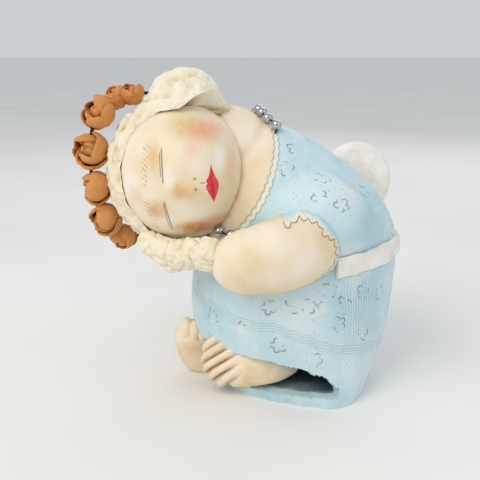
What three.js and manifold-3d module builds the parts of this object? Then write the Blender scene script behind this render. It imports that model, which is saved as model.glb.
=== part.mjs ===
// Hand-built ceramic angel: a plump figure sits hugging her knees, her big head laid sideways on her arm,
// with a crown of terracotta roses on a wire and a string of metal beads round the neck.
// The fired figure is one solid. The crown's roses and wire and the beads are pieces of their own.
// Millimetres, +Z up, the face looks along -Y, the origin is on the underside.
import * as THREE from 'three';
import { mergeVertices } from 'three/addons/utils/BufferGeometryUtils.js';
import Module from 'manifold-3d';

// Driving dimensions
const figureHeight = 216;      // the pose and all free forms are shares of this
const wall = 7;                // clay wall of the hollow skirt
const slab = 8;                // clay floor under the skirt, which is also the lower lip of its mouth
const sashWidth = 13;
const sashThickness = 3;
const wingThickness = 11;
const roseDiameter = 24;       // the largest rose of the crown
const wireDiameter = 2.4;      // the crown's wire
const wireDepth = 9;           // how far each end of the crown's wire is set into the hair
const beadDiameter = 7.2;
const beadPitch = 9.4;
const threadDiameter = 1.2;    // the wire that the beads are strung on
const threadDepth = 4;         // how far each end of the thread is set into the clay
const clearance = 0.35;        // between pieces that touch

// One modelled millimetre: every free form of the pose is a share of the figure's height
const mm = figureHeight / 216;
const at = (x, y, z) => new THREE.Vector3(x, y, z).multiplyScalar(mm);
const degrees = Math.PI / 180;

const wasm = await Module();
wasm.setup();

// A geometry with one vertex per corner
function weld(geometry) {
  const bare = geometry.clone();
  bare.deleteAttribute('normal');
  bare.deleteAttribute('uv');
  return mergeVertices(bare, 1e-4);
}

// A closed three.js geometry as a solid that can be joined and cut
function solid(geometry) {
  const merged = weld(geometry);
  return new wasm.Manifold(new wasm.Mesh({
    numProp: 3,
    vertProperties: merged.attributes.position.array,
    triVerts: new Uint32Array(merged.index.array),
  }));
}

// A solid back as a three.js geometry
function geometryOf(shape) {
  const mesh = shape.getMesh();
  const corners = new Float32Array(mesh.numVert * 3);
  for (let i = 0; i < mesh.numVert; i++) {
    corners.set(mesh.vertProperties.subarray(i * mesh.numProp, i * mesh.numProp + 3), i * 3);
  }
  const geometry = new THREE.BufferGeometry();
  geometry.setAttribute('position', new THREE.BufferAttribute(corners, 3));
  geometry.setIndex(new THREE.BufferAttribute(mesh.triVerts, 1));
  return geometry;
}

// The outer skin of a solid alone: clay closes the small gaps sealed in between the forms it joins
function outerSkin(shape) {
  const smoothedAway = 0.2;
  const skins = shape.asOriginal().simplify(smoothedAway).decompose();
  return skins.reduce((largest, each) => (each.volume() > largest.volume() ? each : largest));
}

// Moves each vertex of a geometry to where place puts it
function warp(original, place) {
  const geometry = weld(original);
  const position = geometry.attributes.position;
  const point = new THREE.Vector3();
  for (let i = 0; i < position.count; i++) {
    point.fromBufferAttribute(position, i);
    const moved = place(point);
    position.setXYZ(i, moved.x, moved.y, moved.z);
  }
  return geometry;
}

const mix = (a, b, share) => a + (b - a) * share;
const clamp = THREE.MathUtils.clamp;
const bump = (distance, width) => Math.exp(-(distance * distance) / (width * width));

// Gap from a point to a form, below zero inside it
function ellipsoidGap(p, centre, radii) {
  const q = p.clone().sub(centre);
  const near = q.clone().divide(radii).length();
  const slope = q.clone().divide(radii).divide(radii).length();
  return slope < 1e-9 ? -Math.min(radii.x, radii.y, radii.z) : near * (near - 1) / slope;
}

function taperGap(p, from, to, fromRadius, toRadius) {
  const axis = to.clone().sub(from);
  const along = clamp(p.clone().sub(from).dot(axis) / axis.lengthSq(), 0, 1);
  return p.distanceTo(from.clone().addScaledVector(axis, along)) - mix(fromRadius, toRadius, along ** 3);
}

// Joins two gaps with a soft valley, as thumbed clay has
function blend(a, b, softness) {
  const share = clamp(0.5 + 0.5 * (b - a) / softness, 0, 1);
  return mix(b, a, share) - softness * share * (1 - share);
}

// A sphere pushed out from its centre until it meets the form
function skin(centre, gap, around, down) {
  const farthest = 130 * mm;
  return warp(new THREE.SphereGeometry(1, around, down).rotateX(Math.PI / 2), (direction) => {
    let inside = 0;
    let outside = farthest;
    for (let i = 0; i < 26; i++) {
      const middle = (inside + outside) / 2;
      if (gap(centre.clone().addScaledVector(direction, middle)) < 0) inside = middle;
      else outside = middle;
    }
    return centre.clone().addScaledVector(direction, inside);
  });
}

// A round limb along a curve. radii are its half-widths from end to end, flat squeezes it along the side named
function limb(points, radii, flat, around, rings, side = new THREE.Vector3(0, 1, 0)) {
  const spine = new THREE.CatmullRomCurve3(points);
  const girth = new THREE.CatmullRomCurve3(radii.map((r, i) => new THREE.Vector3(i, r, 0)));
  const roundEnd = 0.22;
  return warp(new THREE.SphereGeometry(1, around, rings), (p) => {
    const along = Math.acos(clamp(p.y, -1, 1)) / Math.PI;
    const end = clamp(Math.min(along, 1 - along) / roundEnd, 0, 1);
    const radius = girth.getPoint(along).y * mm * Math.sqrt(1 - (1 - end) ** 2);
    const tangent = spine.getTangent(along);
    const deep = side.clone().addScaledVector(tangent, -tangent.dot(side)).normalize();
    const tall = new THREE.Vector3().crossVectors(deep, tangent);
    const angle = Math.atan2(p.z, p.x);
    return spine.getPoint(along)
      .addScaledVector(tall, Math.cos(angle) * radius)
      .addScaledVector(deep, Math.sin(angle) * radius * flat);
  });
}

const ball = (centre, x, y, z, around = 12, down = 8) =>
  solid(new THREE.SphereGeometry(1, around, down).scale(x * mm, y * mm, z * mm)
    .translate(centre.x, centre.y, centre.z));

// What is cut away to keep clear of a round piece
function roomAround(centre, diameter) {
  const radius = diameter / 2 + clearance;
  return solid(new THREE.SphereGeometry(radius, 12, 8).translate(centre.x, centre.y, centre.z));
}

// Skirt: where it stands, the outline's radius at angles from +X round to the left, about its own centre
const bellyCentre = at(36, 8, 58);
const bellyRadii = at(70.5, 70, 96);
const footCentre = at(30, 4, 0);
const standing = [
  [0, 63], [30, 61], [60, 61], [90, 62], [115, 65], [136, 70], [158, 60], [181, 55], [205, 48],
  [228, 47], [252, 49], [270, 54], [284, 61], [297, 70], [307, 71.5], [319, 67], [333, 63],
];

// A value read off a closed list of [degrees, value], with rounded steps between
function aroundList(list, angle) {
  const turn = ((angle / degrees) % 360 + 360) % 360;
  const next = list.findIndex(([a]) => a > turn);
  const b = next < 0 ? [list[0][0] + 360, list[0][1]] : list[next];
  const a = next < 0 ? list[list.length - 1] : list[next - 1];
  const share = (turn - a[0]) / (b[0] - a[0]);
  return mix(a[1], b[1], (1 - Math.cos(share * Math.PI)) / 2);
}

function skirtGap(p) {
  if (p.z > bellyCentre.z) return ellipsoidGap(p, bellyCentre, bellyRadii);
  const rise = Math.sin(Math.PI / 2 * clamp(p.z / bellyCentre.z, 0, 1));
  const x = p.x - mix(footCentre.x, bellyCentre.x, rise);
  const y = p.y - mix(footCentre.y, bellyCentre.y, rise);
  const angle = Math.atan2(y, x);
  const round = 1 / Math.hypot(Math.cos(angle) / bellyRadii.x, Math.sin(angle) / bellyRadii.y);
  const below = -20 * mm - p.z;
  return Math.max(Math.hypot(x, y) - mix(aroundList(standing, angle) * mm, round, rise), below);
}

// Chest and neck: one taper that leans from the back of the skirt up into the head
const chestFrom = at(52, 9, 96);
const chestTo = at(-12, 4, 151);
const chestRadius = 57 * mm;
const neckRadius = 42.5 * mm;
const chestFlat = 1.13;        // how much the chest is squeezed from side to side
const nearShoulder = { centre: at(50, -36, 122), radii: at(33, 24, 27) };
const farShoulder = { centre: at(8, 44, 120), radii: at(30, 22, 27) };

function torsoGap(p) {
  const squeezed = new THREE.Vector3(p.x, chestTo.y + (p.y - chestTo.y) * chestFlat, p.z);
  const chest = taperGap(squeezed, chestFrom, chestTo, chestRadius, neckRadius);
  const body = blend(skirtGap(p), chest, 16 * mm);
  const near = blend(body, ellipsoidGap(p, nearShoulder.centre, nearShoulder.radii), 12 * mm);
  return blend(near, ellipsoidGap(p, farShoulder.centre, farShoulder.radii), 12 * mm);
}

// Mouth of the skirt: the hem's height over the table at angles about the standing outline's centre
const mouthFrom = 134;
const mouthTo = 301;
const hem = [
  [134, 0], [146, 15], [160, 25], [180, 29], [205, 28], [232, 26.5], [256, 25], [275, 20], [290, 12], [301, 0],
];

function mouthTool() {
  const steps = 44;
  const reach = 82 * mm;
  const tool = new THREE.CylinderGeometry(1, 1, 1, steps, 1).rotateX(Math.PI / 2);
  return solid(warp(tool, (p) => {
    const angle = Math.atan2(p.y, p.x);
    const turn = (angle / degrees + 360) % 360;
    const open = turn > mouthFrom && turn < mouthTo;
    const centred = Math.hypot(p.x, p.y) < 0.5;
    const radius = Math.hypot(p.x, p.y) * (open ? reach : 20 * mm);
    const lift = centred ? 22 * mm : open ? aroundList(hem, angle) * mm : 0;
    const z = p.z < 0 ? slab : slab + 0.6 * mm + lift;
    return new THREE.Vector3(footCentre.x + Math.cos(angle) * radius, footCentre.y + Math.sin(angle) * radius, z);
  }));
}

const belowTable = solid(new THREE.BoxGeometry(400 * mm, 400 * mm, 100 * mm).translate(0, 0, -50 * mm));
const belowSlab = solid(new THREE.BoxGeometry(400 * mm, 400 * mm, 100 * mm).translate(0, 0, slab - 50 * mm));

function dress() {
  const heart = at(34, 6, 84);
  const outer = solid(skin(heart, torsoGap, 36, 24)).subtract(belowTable);
  const hollow = solid(skin(at(36, 7, 60), (p) => skirtGap(p) + wall, 22, 12)).subtract(belowSlab);
  return outer.subtract(hollow).subtract(mouthTool());
}

// Head: the face is one round ball, and the hair a thick cap with a rim round the face
const faceCentre = at(-37.5, -19, 151);
const faceRadii = at(41, 42, 44.5);
const hairCentre = at(-36, -4, 149);
const hairRadii = at(52.5, 46, 53);
const hairline = { x: 39.5 * mm, z: 43.5 * mm };
const hairFront = -27 * mm;
const napeX = -4 * mm;

function head() {
  const nose = { x: 7.5 * mm, z: -5.5 * mm, high: 3.2 * mm, wide: 7 * mm };
  const lips = { x: 19 * mm, z: -5 * mm, high: 1.8 * mm, wide: 8 * mm };
  const chin = { x: 31 * mm, z: -3 * mm, high: 1.5 * mm, wide: 9 * mm };
  return warp(new THREE.SphereGeometry(1, 26, 18).rotateX(Math.PI / 2), (p) => {
    const q = p.clone().multiply(faceRadii);
    if (p.y < 0) {
      for (const f of [nose, lips, chin]) q.y -= f.high * bump(Math.hypot(q.x - f.x, q.z - f.z), f.wide);
    }
    return q.add(faceCentre);
  });
}

// Locks of hair: worms of clay laid in rows, as ridges in the cap's radius
function lockRidge(direction, size) {
  const a = Math.atan2(direction.z, direction.x);
  const b = Math.acos(clamp(direction.y, -1, 1));
  return size * (0.6 * Math.sin(9 * a + 4 * Math.sin(5 * b)) + 0.4 * Math.sin(11 * b + 3 * Math.cos(4 * a)));
}

function hair(extra = 0) {
  const cap = skin(hairCentre, (p) => {
    const locks = lockRidge(p.clone().sub(hairCentre).normalize(), 1.7 * mm);
    const round = ellipsoidGap(p, hairCentre, hairRadii) - locks;
    const tuft = ellipsoidGap(p, at(-36, -16, 194), at(24, 22, 23)) - 0.5 * locks;
    const nape = p.x - napeX - 0.08 * (p.z - hairCentre.z);
    return -blend(-blend(round, tuft, 8 * mm), -nape, 12 * mm) - extra;
  }, 30, 20);
  const frontDepth = 60 * mm;
  const faceWindow = solid(new THREE.CylinderGeometry(1, 0.96, frontDepth, 28)
    .scale(hairline.x, 1, hairline.z).translate(faceCentre.x, hairFront - frontDepth / 2, faceCentre.z));
  return solid(cap).subtract(faceWindow);
}

// Front locks: the strip under the lower cheek, which reaches the hand, with its hanging tip
function frontLocks() {
  const strip = solid(limb(
    [at(-66, -30, 110), at(-48, -42, 103), at(-30, -52, 104), at(-12, -60, 112)], [7, 8.5, 9, 8], 0.8, 10, 12));
  const tip = solid(limb([at(-24, -56, 112), at(-21, -62, 105), at(-23, -62, 96)], [8, 9, 6], 0.8, 8, 8));
  const curl = solid(limb([at(-44, -34, 106), at(-41, -42, 98), at(-37, -46, 92)], [8, 9, 7], 0.8, 8, 8));
  return strip.add(tip).add(curl);
}

// Arms: each wraps forward round the knees and ends in a mitten hand
function nearArm() {
  const path = [at(55, -42, 117), at(38, -57, 109), at(11, -65, 103.5), at(-18, -60, 97)];
  return solid(limb(path, [20, 22.5, 23, 20.5, 17.5], 0.8, 12, 14));
}

function farArm() {
  const path = [at(14, 60, 120), at(-10, 50, 108), at(-24, 28, 99), at(-26, 2, 96)];
  return solid(limb(path, [20, 19, 16, 14, 11], 0.9, 12, 14, new THREE.Vector3(0, 0, 1)));
}

// Feet: the near foot lies on its outer edge, the far one stands on its heel, toes to the left
function foot(path, girths, toes, toeRadius) {
  let made = solid(limb(path, girths, 0.72, 12, 14));
  for (const toe of toes) made = made.add(ball(toe, toeRadius, toeRadius * 0.9, toeRadius, 8, 6));
  return made;
}

function toeRow(from, to, count) {
  return Array.from({ length: count }, (_, i) => from.clone().lerp(to, i / (count - 1)));
}

function feet() {
  const near = foot([at(-25, -23, 23), at(-8, -33, 24), at(16, -40, 23), at(40, -34, 19)],
    [15, 18.5, 17, 12, 7], toeRow(at(-21, -24, 36), at(-11, -36, 13), 5), 5.5);
  const far = foot([at(-34, -2, 41), at(-31, 2, 24), at(-20, 8, 8), at(6, 16, 8)],
    [13, 16, 17, 13, 8], toeRow(at(-39, -2, 38), at(-20, -8, 36), 4), 6.5);
  return near.add(far);
}

// Wings: two round paddles on the back
function wing(centre, radius, turn) {
  const paddle = warp(new THREE.SphereGeometry(1, 18, 8).rotateX(Math.PI / 2), (p) => {
    const thick = p.y * Math.sqrt(2 - p.y ** 2) * wingThickness / 2;
    return new THREE.Vector3(p.x * radius * mm, thick, p.z * radius * mm);
  });
  return solid(paddle.rotateX(-0.12).rotateZ(turn * degrees).translate(centre.x, centre.y, centre.z));
}

// Sash: a flat band laid round the back of the waist, from one arm to the other
function sash() {
  const steps = 30;
  const from = -76;
  const to = 112;
  const depthInClay = 4;
  return solid(warp(new THREE.BoxGeometry(1, 1, 1, steps, 1, 2), (p) => {
    const share = p.x + 0.5;
    const angle = mix(from, to, share) * degrees;
    const z = (88 + 7 * Math.sin(share * Math.PI * 0.8)) * mm + p.z * sashWidth;
    const lean = (60 - 40 * share) * degrees * 0.1;
    const direction = new THREE.Vector3(Math.cos(angle), Math.sin(angle), Math.sin(lean));
    const heart = new THREE.Vector3(bellyCentre.x, bellyCentre.y, z);
    let radius = 0;
    while (torsoGap(heart.clone().addScaledVector(direction, radius)) < 0) radius += 0.5 * mm;
    radius += p.y < 0 ? sashThickness : -depthInClay;
    return heart.addScaledVector(direction, radius);
  }));
}

// Crown: its wire comes out of the hair at the back, stands clear of the head on the left, and goes in again.
// Seats of the roses from top to bottom: turn and reach about the crown's centre, how far back, share of size
const crownCentre = at(-41, 12, 151);
const crownTilt = 20 * degrees;
const roseSeats = [
  { turn: 84, reach: 42, back: 30, size: 0.66, face: [0.1, 0.6, 0.8], spin: 0.4 },
  { turn: 104, reach: 48, back: 22, size: 0.66, face: [-0.2, 0.3, 0.95], spin: 2.1 },
  { turn: 124.3, reach: 60.5, back: 6, size: 0.69, face: [-0.3, -0.4, 0.85], spin: 5.0 },
  { turn: 135.2, reach: 67, back: 14, size: 0.76, face: [-0.55, -0.25, 0.8], spin: 1.0 },
  { turn: 146.4, reach: 68.5, back: 0, size: 0.96, face: [-0.6, -0.65, 0.45], spin: 3.3 },
  { turn: 168.5, reach: 64, back: 0, size: 1.04, face: [-0.5, -0.85, 0.1], spin: 0.2 },
  { turn: 191.6, reach: 62.5, back: 0, size: 0.97, face: [-0.9, -0.3, -0.2], spin: 4.1 },
  { turn: 212.6, reach: 65.5, back: 0, size: 0.97, face: [-0.8, -0.55, -0.3], spin: 2.6 },
  { turn: 228.7, reach: 67, back: 7, size: 0.82, face: [-0.5, -0.4, -0.75], spin: 1.7 },
  { turn: 246, reach: 52, back: 22, size: 0.66, face: [-0.2, 0.4, -0.9], spin: 5.6 },
];

function crownPoint(turn, reach, back) {
  const x = Math.cos(turn * degrees) * reach;
  return at(x * Math.cos(crownTilt), x * Math.sin(crownTilt) + back, Math.sin(turn * degrees) * reach)
    .add(crownCentre);
}

const crownPath = new THREE.CatmullRomCurve3([
  crownPoint(56, 34 - wireDepth, 30), crownPoint(70, 37, 33),
  ...roseSeats.map(({ turn, reach, back }) => crownPoint(turn, reach, back)),
  crownPoint(262, 42, 30), crownPoint(276, 38 - wireDepth, 31),
]);

function tube(path, radius, sides, steps) {
  const section = new THREE.Shape();
  for (let i = 0; i < sides; i++) {
    const angle = i / sides * Math.PI * 2;
    section[i ? 'lineTo' : 'moveTo'](Math.cos(angle) * radius, Math.sin(angle) * radius);
  }
  section.closePath();
  return solid(new THREE.ExtrudeGeometry(section, { steps, bevelEnabled: false, extrudePath: path }));
}

// A rose: a bud wound in overlapping petals, its axis along +Z
function rosebud(radius) {
  const petals = 5;
  return warp(new THREE.SphereGeometry(1, 12, 7).rotateX(Math.PI / 2), (p) => {
    const turn = Math.atan2(p.y, p.x) / (Math.PI * 2) + 0.5;
    const height = p.z;
    const lap = (turn * petals + 0.35 * height) % 1;
    const outer = 0.16 * lap * Math.max(0, 1 - ((height - 0.1) / 0.85) ** 2);
    const inner = 0.14 * ((turn * 3 + 0.4) % 1) * bump(height - 0.8, 0.3);
    const cup = 0.22 * bump(Math.hypot(p.x, p.y), 0.3) * (height > 0 ? 1 : 0);
    return p.clone().multiplyScalar(radius * (0.86 + outer + inner - cup));
  });
}

function turnedTo(geometry, axis, spin, centre) {
  const turn = new THREE.Quaternion().setFromUnitVectors(new THREE.Vector3(0, 0, 1), axis);
  const own = new THREE.Quaternion().setFromAxisAngle(new THREE.Vector3(0, 0, 1), spin);
  return geometry.applyQuaternion(own).applyQuaternion(turn).translate(centre.x, centre.y, centre.z);
}

// Necklace: a string of beads over the far side of the neck, and its near end in the crease under the cheek
const neckAxis = chestTo.clone().sub(chestFrom).normalize();
const neckFar = new THREE.Vector3(0, 1, 0).addScaledVector(neckAxis, -neckAxis.y).normalize();
const neckTop = new THREE.Vector3().crossVectors(neckFar, neckAxis).normalize();

// A point beside the neck: its place along the axis, the angle round it, and its height over the clay
function besideNeck(along, angle, height) {
  const direction = neckFar.clone().multiplyScalar(Math.cos(angle * degrees))
    .addScaledVector(neckTop, Math.sin(angle * degrees));
  const heart = chestFrom.clone().addScaledVector(neckAxis, along * mm);
  let radius = 20 * mm;
  while (torsoGap(heart.clone().addScaledVector(direction, radius)) < 0) radius += 0.25 * mm;
  return heart.addScaledVector(direction, radius + height);
}

const beadHeight = beadDiameter / 2 + clearance;
const strings = [
  {
    name: 'back', beads: 12,
    path: [[74, 119, -threadDepth], [77, 110, beadHeight * 0.8], [86, 98, beadHeight * 0.8], [90, 82, beadHeight],
      [89, 66, beadHeight],
      [82, 44, beadHeight], [79, 22, beadHeight], [77, 4, beadHeight], [76, -12, beadHeight], [76, -22, -threadDepth]],
  },
  {
    name: 'front', beads: 3,
    path: [[46, 191, -threadDepth], [52, 198, beadHeight], [58, 206, beadHeight], [65, 213, beadHeight],
      [70, 219, -threadDepth]],
  },
];

const scene = new THREE.Group();
const clay = (colour, roughness) => new THREE.MeshStandardMaterial({ color: colour, roughness, metalness: 0 });
const steel = new THREE.MeshStandardMaterial({ color: 0x9a9da0, roughness: 0.25, metalness: 1 });
const darkWire = new THREE.MeshStandardMaterial({ color: 0x2c2420, roughness: 0.6, metalness: 0.6 });

function addPiece(name, shape, material) {
  const home = footCentre.clone().negate();
  const mesh = new THREE.Mesh(geometryOf(shape.translate(home.toArray())), material);
  mesh.name = name;
  scene.add(mesh);
}

// The fired figure, with sockets for the ends of the wires
const crownWire = tube(crownPath, wireDiameter / 2, 5, 30);
const crownRoom = tube(crownPath, wireDiameter / 2 + clearance, 5, 30);
let figure = dress();
const parts = [
  solid(head()), hair(), frontLocks(), nearArm(), farArm(), feet(), sash(),
  wing(at(84.5, 32, 138), 27, 14), wing(at(58, 62, 127), 25, 62),
];
for (const part of parts) figure = figure.add(part);
figure = figure.subtract(belowTable).subtract(crownRoom);

// Each rose is drilled for the wire, and keeps clear of the hair and of the rose before it
let roomBefore = null;
roseSeats.forEach(({ turn, reach, back, size, face, spin }, i) => {
  const diameter = roseDiameter * size;
  const centre = crownPoint(turn, reach, back);
  const room = roomAround(centre, diameter * 1.04);
  const bud = turnedTo(rosebud(diameter / 2), new THREE.Vector3(...face).normalize(), spin, centre);
  let rose = solid(bud).subtract(crownRoom);
  if (roomBefore) rose = rose.subtract(roomBefore);
  addPiece(`rose_${i + 1}`, outerSkin(rose), clay(0xb8692e, 0.75));
  figure = figure.subtract(room);
  roomBefore = room;
});

// Beads are threaded at an even pitch, and the clay keeps clear of them
for (const { name, beads, path } of strings) {
  const string = new THREE.CatmullRomCurve3(path.map(([along, angle, height]) => besideNeck(along, angle, height)));
  const threadRoom = tube(string, threadDiameter / 2 + clearance, 4, 24);
  figure = figure.subtract(threadRoom);
  addPiece(`necklace_wire_${name}`, tube(string, threadDiameter / 2, 4, 24), darkWire);
  const length = string.getLength();
  for (let i = 0; i < beads; i++) {
    const share = 0.5 + (i - (beads - 1) / 2) * beadPitch / length;
    const centre = string.getPointAt(share);
    const bead = turnedTo(new THREE.SphereGeometry(beadDiameter / 2, 8, 6), string.getTangentAt(share), 0, centre);
    figure = figure.subtract(roomAround(centre, beadDiameter));
    addPiece(`bead_${name}_${i + 1}`, solid(bead).subtract(threadRoom), steel);
  }
}

addPiece('angel_figure', outerSkin(figure), clay(0xb4d4dc, 0.7));
addPiece('crown_wire', crownWire, darkWire);

export default scene;
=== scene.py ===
# Hand-built ceramic angel hugging its knees: one fired figure, ten terracotta roses, two runs of beads
import math
import bmesh
import bpy
import numpy as np
from mathutils import Matrix, Vector, noise


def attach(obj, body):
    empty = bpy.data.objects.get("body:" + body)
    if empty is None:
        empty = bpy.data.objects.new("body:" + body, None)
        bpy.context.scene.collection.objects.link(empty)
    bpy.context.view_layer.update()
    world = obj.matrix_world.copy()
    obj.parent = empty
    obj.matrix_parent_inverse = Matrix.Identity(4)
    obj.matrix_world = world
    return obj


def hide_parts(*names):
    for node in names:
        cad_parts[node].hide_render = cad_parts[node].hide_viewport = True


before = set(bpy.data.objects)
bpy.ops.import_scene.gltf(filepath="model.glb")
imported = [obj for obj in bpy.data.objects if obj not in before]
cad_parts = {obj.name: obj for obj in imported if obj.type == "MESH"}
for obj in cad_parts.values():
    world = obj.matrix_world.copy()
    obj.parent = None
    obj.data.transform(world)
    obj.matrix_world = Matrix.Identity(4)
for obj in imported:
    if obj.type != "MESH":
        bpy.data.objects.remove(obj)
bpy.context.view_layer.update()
scene = bpy.context.scene
print("frame loaded with", len(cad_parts), "nodes")

# The forms are laid out in mm, with the photograph's middle at x = 0, and moved home at the end
home = np.array((30.0, 4.0, 0.0))


def toMetres(points):
    return (np.asarray(points, float) - home) * 0.001


view = {
    "eye": (0, -504.55, 225.8),
    "target": (0, 0, 100),
    "lens": 55.7,                 # on a 36 mm wide sensor
}


def makeCamera():
    camera = bpy.data.objects.new("camera", bpy.data.cameras.new("camera"))
    scene.collection.objects.link(camera)
    eye = Vector(toMetres(view["eye"]))
    target = Vector(toMetres(view["target"]))
    camera.location = eye
    camera.rotation_euler = (target - eye).to_track_quat("-Z", "Y").to_euler()
    camera.data.lens = view["lens"]
    camera.data.sensor_width = 36
    camera.data.clip_start = 0.01
    scene.camera = camera


makeCamera()


# Small helpers for shapes

def mixed(a, b, share):
    return a + (b - a) * share


def hump(distance, width):
    return np.exp(-(distance / width) ** 2)


def eased(value, low, high):
    share = np.clip((value - low) / (high - low), 0, 1)
    return share * share * (3 - 2 * share)


def softJoin(a, b, softness):
    share = np.clip(0.5 + 0.5 * (b - a) / softness, 0, 1)
    return mixed(b, a, share) - softness * share * (1 - share)


def ballGap(points, centre, radii):
    q = (points - centre) / radii
    near = np.linalg.norm(q, axis=1)
    slope = np.linalg.norm(q / radii, axis=1)
    return near * (near - 1) / np.maximum(slope, 1e-9)


def aroundList(rows, turn):
    angles = np.array([row[0] for row in rows] + [rows[0][0] + 360.0])
    values = np.array([row[1] for row in rows] + [rows[0][1]], float)
    turn = np.mod(turn, 360)
    turn = np.where(turn < angles[0], turn + 360, turn)
    i = np.clip(np.searchsorted(angles, turn, side="right") - 1, 0, len(rows) - 1)
    share = (turn - angles[i]) / (angles[i + 1] - angles[i])
    return mixed(values[i], values[i + 1], (1 - np.cos(share * np.pi)) / 2)


def lumps(points, size, seed):
    # smooth hand-made unevenness, one value a point, about -1 to 1, with lumps of this size in mm
    shift = Vector((seed * 13.7, seed * 7.1, seed * 3.3))
    return np.array([noise.noise(Vector(p) / size + shift) for p in points])


def curveThrough(points, count):
    # a smooth curve through the points, sampled evenly in its own parameter
    knots = [np.asarray(p, float) for p in points]
    knots = [2 * knots[0] - knots[1]] + knots + [2 * knots[-1] - knots[-2]]
    made = []
    for share in np.linspace(0, len(points) - 1, count):
        i = min(int(share), len(points) - 2)
        t = share - i
        a, b, c, d = knots[i:i + 4]
        steps = [max(np.linalg.norm(q - p) ** 0.5, 1e-3) for p, q in ((a, b), (b, c), (c, d))]
        into = (b - a) / steps[0] - (c - a) / (steps[0] + steps[1]) + (c - b) / steps[1]
        out = (c - b) / steps[1] - (d - b) / (steps[1] + steps[2]) + (d - c) / steps[2]
        into, out = into * steps[1], out * steps[1]
        square = -3 * b + 3 * c - 2 * into - out
        cube = 2 * b - 2 * c + into + out
        made.append(b + into * t + square * t * t + cube * t ** 3)
    return np.array(made)


def pushedOut(directions, centre, gap):
    centre = np.asarray(centre, float)
    low = np.zeros(len(directions))
    high = np.full(len(directions), 130.0)
    for _ in range(22):
        middle = (low + high) / 2
        inside = gap(centre + directions * middle[:, None]) < 0
        low = np.where(inside, middle, low)
        high = np.where(inside, high, middle)
    return centre + directions * low[:, None]


def newObject(name, mesh):
    thing = bpy.data.objects.new(name, mesh)
    scene.collection.objects.link(thing)
    return thing


def meshFrom(bm, name, finish=0):
    # merges and closes a bmesh made in mm, and turns it into a smooth-shaded object in metres
    bmesh.ops.remove_doubles(bm, verts=bm.verts, dist=1e-4)
    bmesh.ops.recalc_face_normals(bm, faces=bm.faces)
    for face in bm.faces:
        face.smooth = True
        face.material_index = finish
    for vertex in bm.verts:
        vertex.co = toMetres(vertex.co)
    mesh = bpy.data.meshes.new(name)
    bm.to_mesh(mesh)
    bm.free()
    for material in figureFinishes:
        mesh.materials.append(material)
    return newObject(name, mesh)


def movedBall(name, detail, place, finish=0):
    # an icosphere whose vertices are moved to where place puts each direction
    bm = bmesh.new()
    bmesh.ops.create_icosphere(bm, subdivisions=detail, radius=1)
    directions = np.array([v.co for v in bm.verts])
    directions /= np.linalg.norm(directions, axis=1, keepdims=True)
    for vertex, spot in zip(bm.verts, place(directions)):
        vertex.co = spot
    return meshFrom(bm, name, finish)


def joinAll(base, tools, operation="UNION"):
    for tool in tools:
        step = base.modifiers.new(tool.name, "BOOLEAN")
        step.operation = operation
        step.solver = "MANIFOLD"
        step.object = tool
    depsgraph = bpy.context.evaluated_depsgraph_get()
    mesh = bpy.data.meshes.new_from_object(base.evaluated_get(depsgraph))
    base.modifiers.clear()
    base.data = mesh
    for tool in tools:
        bpy.data.objects.remove(tool)
    return base


# Points inside the body and inside the skirt, from which their skins are found
torsoHeart = (34, 6, 84)
hollowHeart = (36, 7, 60)

# Dress: the skirt's belly, the chest that leans up into the head, and both shoulders, as one skin of clay
skirt = {
    "belly": (36, 8, 58),
    "radii": (70.5, 70, 96),
    "foot": (30, 4, 0),
    "wall": 7,
    "slab": 8,
    "standing": [
        (0, 63), (30, 61), (60, 61), (90, 62), (115, 65), (136, 70), (158, 60), (181, 55), (205, 48),
        (228, 47), (252, 49), (270, 54), (284, 61), (297, 70), (307, 71.5), (319, 67), (333, 63),
    ],
    "hem": [
        (134, 0), (146, 15), (160, 25), (180, 29), (205, 28), (232, 26.5), (256, 25), (275, 20),
        (290, 12), (301, 0),
    ],
    "mouthReach": 82,             # how far the cut of the mouth reaches out, and where it stays inside
    "closedReach": 20,
    "unevenness": 0.55,           # mm in or out, from the hands
}
chest = {
    "low": (52, 9, 96),
    "high": (-12, 4, 151),
    "lowRadius": 57,
    "neckRadius": 42.5,
    "flat": 1.13,
    "nearShoulder": ((50, -36, 122), (33, 24, 27)),
    "farShoulder": ((8, 44, 120), (30, 22, 27)),
}


def skirtGap(points):
    belly, radii, foot = (np.array(skirt[key], float) for key in ("belly", "radii", "foot"))
    dome = ballGap(points, belly, radii)
    rise = np.sin(np.pi / 2 * np.clip(points[:, 2] / belly[2], 0, 1))
    x = points[:, 0] - mixed(foot[0], belly[0], rise)
    y = points[:, 1] - mixed(foot[1], belly[1], rise)
    angle = np.arctan2(y, x)
    around = 1 / np.hypot(np.cos(angle) / radii[0], np.sin(angle) / radii[1])
    wallOut = np.hypot(x, y) - mixed(aroundList(skirt["standing"], np.degrees(angle)), around, rise)
    underFoot = -20 - points[:, 2]
    return np.where(points[:, 2] > belly[2], dome, np.maximum(wallOut, underFoot))


def chestGap(points):
    low, high = np.array(chest["low"], float), np.array(chest["high"], float)
    squeezed = points * (1, chest["flat"], 1) + (0, high[1] * (1 - chest["flat"]), 0)
    axis = high - low
    along = np.clip((squeezed - low) @ axis / (axis @ axis), 0, 1)
    middle = low + along[:, None] * axis
    girth = mixed(chest["lowRadius"], chest["neckRadius"], along ** 3)
    return np.linalg.norm(squeezed - middle, axis=1) - girth


def torsoGap(points):
    body = softJoin(skirtGap(points), chestGap(points), 16)
    body = softJoin(body, ballGap(points, *chest["nearShoulder"]), 12)
    return softJoin(body, ballGap(points, *chest["farShoulder"]), 12)


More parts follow.
